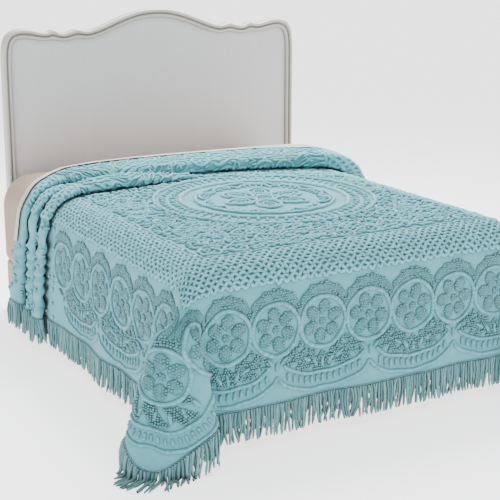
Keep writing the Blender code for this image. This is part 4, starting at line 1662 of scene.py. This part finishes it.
@dataclass
class Bed:
    """Mattress in its fitted sheet, turned-back top sheet, base and legs."""

    drape: Drape
    linen: Cotton = Cotton("fitted_sheet", (0.29, 0.215, 0.160), (0.43, 0.335, 0.250), nap=0.1,
                           grain=240.0, depth=0.0006, patch=3.0, weave=900.0)
    fold: Cotton = Cotton("cream_sheet", (0.50, 0.42, 0.355), (0.64, 0.555, 0.485), nap=0.1,
                          grain=240.0, depth=0.0006, patch=3.0, weave=900.0)
    cover: Cotton = Cotton("base_cover", (0.31, 0.245, 0.200), (0.44, 0.355, 0.295), nap=0.1,
                           grain=300.0, depth=0.0008, patch=4.0, weave=600.0)
    wood: Paint = Paint("dark_leg", (0.10, 0.07, 0.05), 0.4)
    free_head: float = 0.19
    sheet_half: float = 0.92
    sheet_lift: float = 0.008
    sheet_on: tuple = ((1.0, -0.013, 0.0585), (1.0, 0.009, 0.0330))
    sheet_top: float = 0.0625
    sheet_behind: tuple = ((0.030, 0.0150), (0.058, 0.0050), (0.092, -0.0006))

    def soft_box(self, name: str, node: str, rounds: Pair, material: bpy.types.Material,
                 pucker: float, swell: float = 0.0) -> Piece:
        """A padded box with rounded edges and slightly uneven sides.

        Args:
            name: Name of the piece.
            node: The solid that it stands for.
            rounds: Rounding of the upright and of the level edges.
            material: Its finish.
            pucker: Depth of its unevenness.
            swell: How far its sides swell near the head.

        Returns:
            The piece.
        """
        bm, low, high = box_of(node)
        bevel(bm, edges_of(bm, level=False), rounds[0], 8)
        level = edges_of(bm, level=True)
        lower = [e for e in level if e.verts[0].co.z < (low.z + high.z) / 2]
        bevel(bm, [e for e in level if e not in lower], rounds[1], 8)
        bevel(bm, [e for e in lower if e.is_valid], min(rounds[1], 0.05), 4)
        for axis in range(3):
            normal = Vector([float(k == axis) for k in range(3)])
            for cut in np.arange(low[axis] + 0.04, high[axis] - 0.02, 0.06):
                bmesh.ops.bisect_plane(bm, geom=bm.verts[:] + bm.edges[:] + bm.faces[:],
                                       plane_co=normal * float(cut), plane_no=normal)
        middle = (low + high) / 2
        for v in bm.verts:
            free = min(max((v.co.y - high.y + self.free_head) / 0.08, 0.0), 1.0)
            v.co.x += math.copysign(swell * free * free * (3 - 2 * free), v.co.x - middle.x)
            away = v.co - middle
            away.z *= 0.3
            wave = math.sin(v.co.y * 31 + v.co.z * 9) * math.sin(v.co.z * 23 + v.co.x * 17)
            v.co -= away.normalized() * pucker * (0.5 + 0.5 * wave)
        mesh = mesh_of(bm, name)
        set_attribute(mesh, "pile", np.full(len(mesh.vertices), 0.4))
        piece = finish_piece(name, mesh, material)
        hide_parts(node)
        return piece

    def top_sheet(self, material: bpy.types.Material) -> Piece:
        """The sheet's turned-back edge over the last tuck.

        Args:
            material: Its finish.

        Returns:
            The piece.
        """
        d = self.drape
        us = np.linspace(-self.sheet_half, self.sheet_half, 150)
        rows = []
        for u in us:
            front = np.interp(u, d.tuck_u, d.tuck_front[2])
            depth = np.interp(u, d.tuck_u, d.tuck_depth[2])
            height = np.interp(u, d.tuck_u, d.tuck_height)
            first = (np.interp(u, *d.sheet_front), 0.0, self.sheet_top)
            line = [(front + depth * share + on,
                     h + max(h - self.sheet_lift - d.tuck_layers, 0.0) * (height - 1.0))
                    for share, on, h in (first, *self.sheet_on)]
            line += [(front + depth + behind, h) for behind, h in self.sheet_behind]
            line = smooth_path(np.array(line), 5)
            rows.append(d.base(np.full(len(line), u), line[:, 0], line[:, 1]))
        places = np.stack(rows, 1) + np.array([*d.origin, 0.0])
        mesh = grid_mesh("top_sheet_edge", places, 0.4)
        piece = finish_piece("top_sheet_edge", mesh, material)
        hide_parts("top_sheet")
        return piece

    def legs(self, material: bpy.types.Material) -> None:
        """Turned legs under the base.

        Args:
            material: Their finish.
        """
        for k in range(1, 6):
            node = "bed_leg_%d" % k
            low, high = (Vector(corner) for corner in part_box(node))
            bm = bmesh.new()
            bmesh.ops.create_cone(bm, cap_ends=True, segments=32, radius1=(high.x - low.x) / 2 * 0.8,
                                  radius2=(high.x - low.x) / 2, depth=high.z - low.z)
            bevel(bm, edges_of(bm, level=True), 0.002, 3)
            bmesh.ops.translate(bm, verts=bm.verts, vec=(low + high) / 2)
            piece = finish_piece("turned_leg_%d" % k, mesh_of(bm, node), material)
            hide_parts(node)

    def build(self) -> tuple[Piece, Piece]:
        """Build the bed.

        Returns:
            The mattress and the top sheet.
        """
        mattress = self.soft_box("mattress_in_sheet", "mattress", (0.13, 0.135), self.linen.make(),
                                 0.0018, 0.018)
        base = self.soft_box("covered_base", "bed_base", (0.02, 0.018), self.cover.make(), 0.0008)
        self.legs(self.wood.make())
        return mattress, self.top_sheet(self.fold.make())


@dataclass
class Headboard:
    """Painted headboard: a moulded frame round a recessed panel."""

    bed_x: float
    bed_y: float
    shift: float = 0.10
    bottom: float = 0.32
    face: float = 0.038
    # half outline of the top, from the crown outward
    top: tuple = (
        (0.0, 1.326), (0.07, 1.321), (0.14, 1.304), (0.20, 1.283), (0.27, 1.256),
        (0.325, 1.240), (0.35, 1.240), (0.385, 1.248), (0.42, 1.239), (0.445, 1.232),
        (0.47, 1.236), (0.50, 1.249), (0.525, 1.239), (0.56, 1.243), (0.61, 1.254),
        (0.655, 1.256), (0.695, 1.245), (0.719, 1.218), (0.731, 1.175), (0.735, 1.12),
    )
    # moulding: distance in from the outline, depth behind the front
    moulding: tuple = (
        (0.0, 0.042), (0.0, 0.009), (0.0015, 0.004), (0.005, 0.001), (0.009, 0.0),
        (0.013, 0.0015), (0.016, 0.005), (0.0175, 0.0095), (0.0205, 0.0095), (0.022, 0.006),
        (0.025, 0.003), (0.029, 0.002), (0.033, 0.004), (0.036, 0.008), (0.038, 0.0145),
        (0.038, 0.042),
    )
    frame_paint: Paint = Paint("cream_paint", (0.50, 0.474, 0.434), 0.38)
    panel_paint: Paint = Paint("grey_white_paint", (0.58, 0.568, 0.572), 0.5, 40.0)

    def outline(self) -> tuple[Array, Array, Array]:
        """The closed outline, its smoothed copy and its inward normals.

        Returns:
            Three arrays of points.
        """
        right = smooth_path(np.array(self.top), 5)
        down = resample(np.array([right[-1], (self.top[-1][0], self.bottom)]), 0.012)[1:]
        right = np.concatenate([right, down])
        left = (right * (-1, 1))[::-1]
        foot = resample(np.array([right[-1], left[0]]), 0.02)[1:-1]
        line = np.concatenate([left[:-1], right, foot])
        line = resample(np.concatenate([line, line[:1]]), 0.009)[:-1]
        soft = line.copy()
        corner = np.abs(line[:, 1] - self.bottom) < 0.06
        for _ in range(14):
            soft = (np.roll(soft, 1, 0) + soft * 2 + np.roll(soft, -1, 0)) / 4
        soft[corner] = line[corner]
        way = unit(np.roll(soft, -1, 0) - np.roll(soft, 1, 0))
        return line, soft, np.stack([way[:, 1], -way[:, 0]], 1)

    def rim(self, bm: bmesh.types.BMesh, inset: float, y: float) -> list[bmesh.types.BMEdge]:
        """A closed ring of edges inside the outline.

        Args:
            bm: Where it is made.
            inset: Distance in from the outline.
            y: Place along the bed.

        Returns:
            The edges.
        """
        line, soft, inward = self.outline()
        share = min(inset / self.face, 1.0)
        around_it = line * (1 - share) + soft * share + inward * inset
        low = around_it[:, 1] < self.bottom + 0.1
        side = self.top[-1][0] - inset
        around_it[low, 0] = np.clip(around_it[low, 0], -side, side)
        around_it[:, 1] = np.maximum(around_it[:, 1], self.bottom + inset)
        verts = [bm.verts.new((self.bed_x + self.shift + x, y, z)) for x, z in around_it]
        return [bm.edges.new((a, b)) for a, b in zip(verts, verts[1:] + verts[:1])]

    def build(self) -> None:
        """Build the frame, the panel and the two feet."""
        bm = bmesh.new()
        rims = [self.rim(bm, inset, self.bed_y + deep) for inset, deep in self.moulding]
        for one, two in zip(rims, rims[1:] + rims[:1]):
            bmesh.ops.bridge_loops(bm, edges=one + two)
        piece = finish_piece("moulded_frame", mesh_of(bm, "moulded_frame"), self.frame_paint.make())
        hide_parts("headboard_frame")
        bm = bmesh.new()
        edges = self.rim(bm, self.face - 0.001, self.bed_y + 0.0145)
        bmesh.ops.contextual_create(bm, geom=edges)
        bmesh.ops.solidify(bm, geom=bm.faces[:], thickness=0.018)
        panel = finish_piece("panel", mesh_of(bm, "panel"), self.panel_paint.make(),
                             smooth=False)
        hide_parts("headboard_panel")
        paint = self.frame_paint.make()
        for tag in ("left", "right"):
            node = "headboard_leg_" + tag
            bm = box_of(node)[0]
            bevel(bm, bm.edges[:], 0.004, 4)
            foot = finish_piece("foot_" + tag, mesh_of(bm, node), paint)
            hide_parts(node)


@dataclass
class Studio:
    """Pale floor, soft lights and the camera."""

    origin: Pair
    camera_at: Place = (-2.36, -3.369, 1.703)
    yaw: float = 29.36
    pitch: float = 14.73
    lens: float = 89.44
    glow: float = 1.8
    air: float = 1.1
    lamp_size: float = 1.6

    def light(self, name: str, place: Place, target: Place, power: float) -> None:
        """Add a soft square light.

        Args:
            name: Its name.
            place: Where it hangs.
            target: Where it shines.
            power: Its power in watts.
        """
        lamp = bpy.data.lights.new(name, "AREA")
        lamp.size = self.lamp_size
        lamp.energy = power
        thing = placed(name, lamp)
        thing.location = place
        thing.rotation_euler = (Vector(target) - Vector(place)).to_track_quat("-Z", "Y").to_euler()

    def build(self) -> None:
        """Build the studio."""
        bm = bmesh.new()
        bmesh.ops.create_grid(bm, x_segments=1, y_segments=1, size=30.0)
        mesh = mesh_of(bm, "studio_floor")
        n = Nodes("studio_white")
        grain = n.add("ShaderNodeTexNoise", Scale=3.0,
                      Vector=n.add("ShaderNodeTexCoord").outputs["Object"])
        pale = n.ramp(grain.outputs[0], (0.90, 0.90, 0.90), (0.93, 0.93, 0.93))
        n.fill(n.shader, {"Base Color": pale, "Roughness": 0.9, "Emission Strength": self.glow,
                          "Emission Color": (1.0, 1.0, 1.0, 1.0)})
        mesh.materials.append(n.material)
        floor = placed("studio_floor", mesh)
        world = bpy.data.worlds.new("studio_air")
        world.use_nodes = True
        back = world.node_tree.nodes["Background"]
        back.inputs[0].default_value = (1.0, 1.0, 1.0, 1.0)
        back.inputs[1].default_value = self.air
        bpy.context.scene.world = world
        x, y = self.origin
        self.light("key", (x - 1.6, y - 2.2, 4.2), (x, y + 0.6, 0.4), 40)
        self.light("top", (x + 1.0, y + 2.4, 3.6), (x, y + 0.9, 0.6), 330)
        data = bpy.data.cameras.new("camera")
        data.lens = self.lens
        data.sensor_width = 36.0
        camera = placed("camera", data)
        camera.location = (self.camera_at[0] + x, self.camera_at[1] + y, self.camera_at[2])
        camera.rotation_euler = (math.radians(90 - self.pitch), 0.0, -math.radians(self.yaw))
        bpy.context.scene.camera = camera


def main() -> None:
    """Build every piece in order and report it."""
    logging.basicConfig(level=logging.INFO, format="%(message)s")
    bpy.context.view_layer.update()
    low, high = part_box("mattress")
    origin = ((low[0] + high[0]) / 2, low[1] - 0.0075)
    drape = Drape(origin)
    mattress, top_sheet = Bed(drape).build()
    cloth, tufting = Bedspread(drape).build()
    fringe = Fringe(drape).build()
    Headboard(origin[0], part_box("headboard_frame")[0][1]).build()
    Studio(origin).build()


if __name__ == "__main__":
    main()
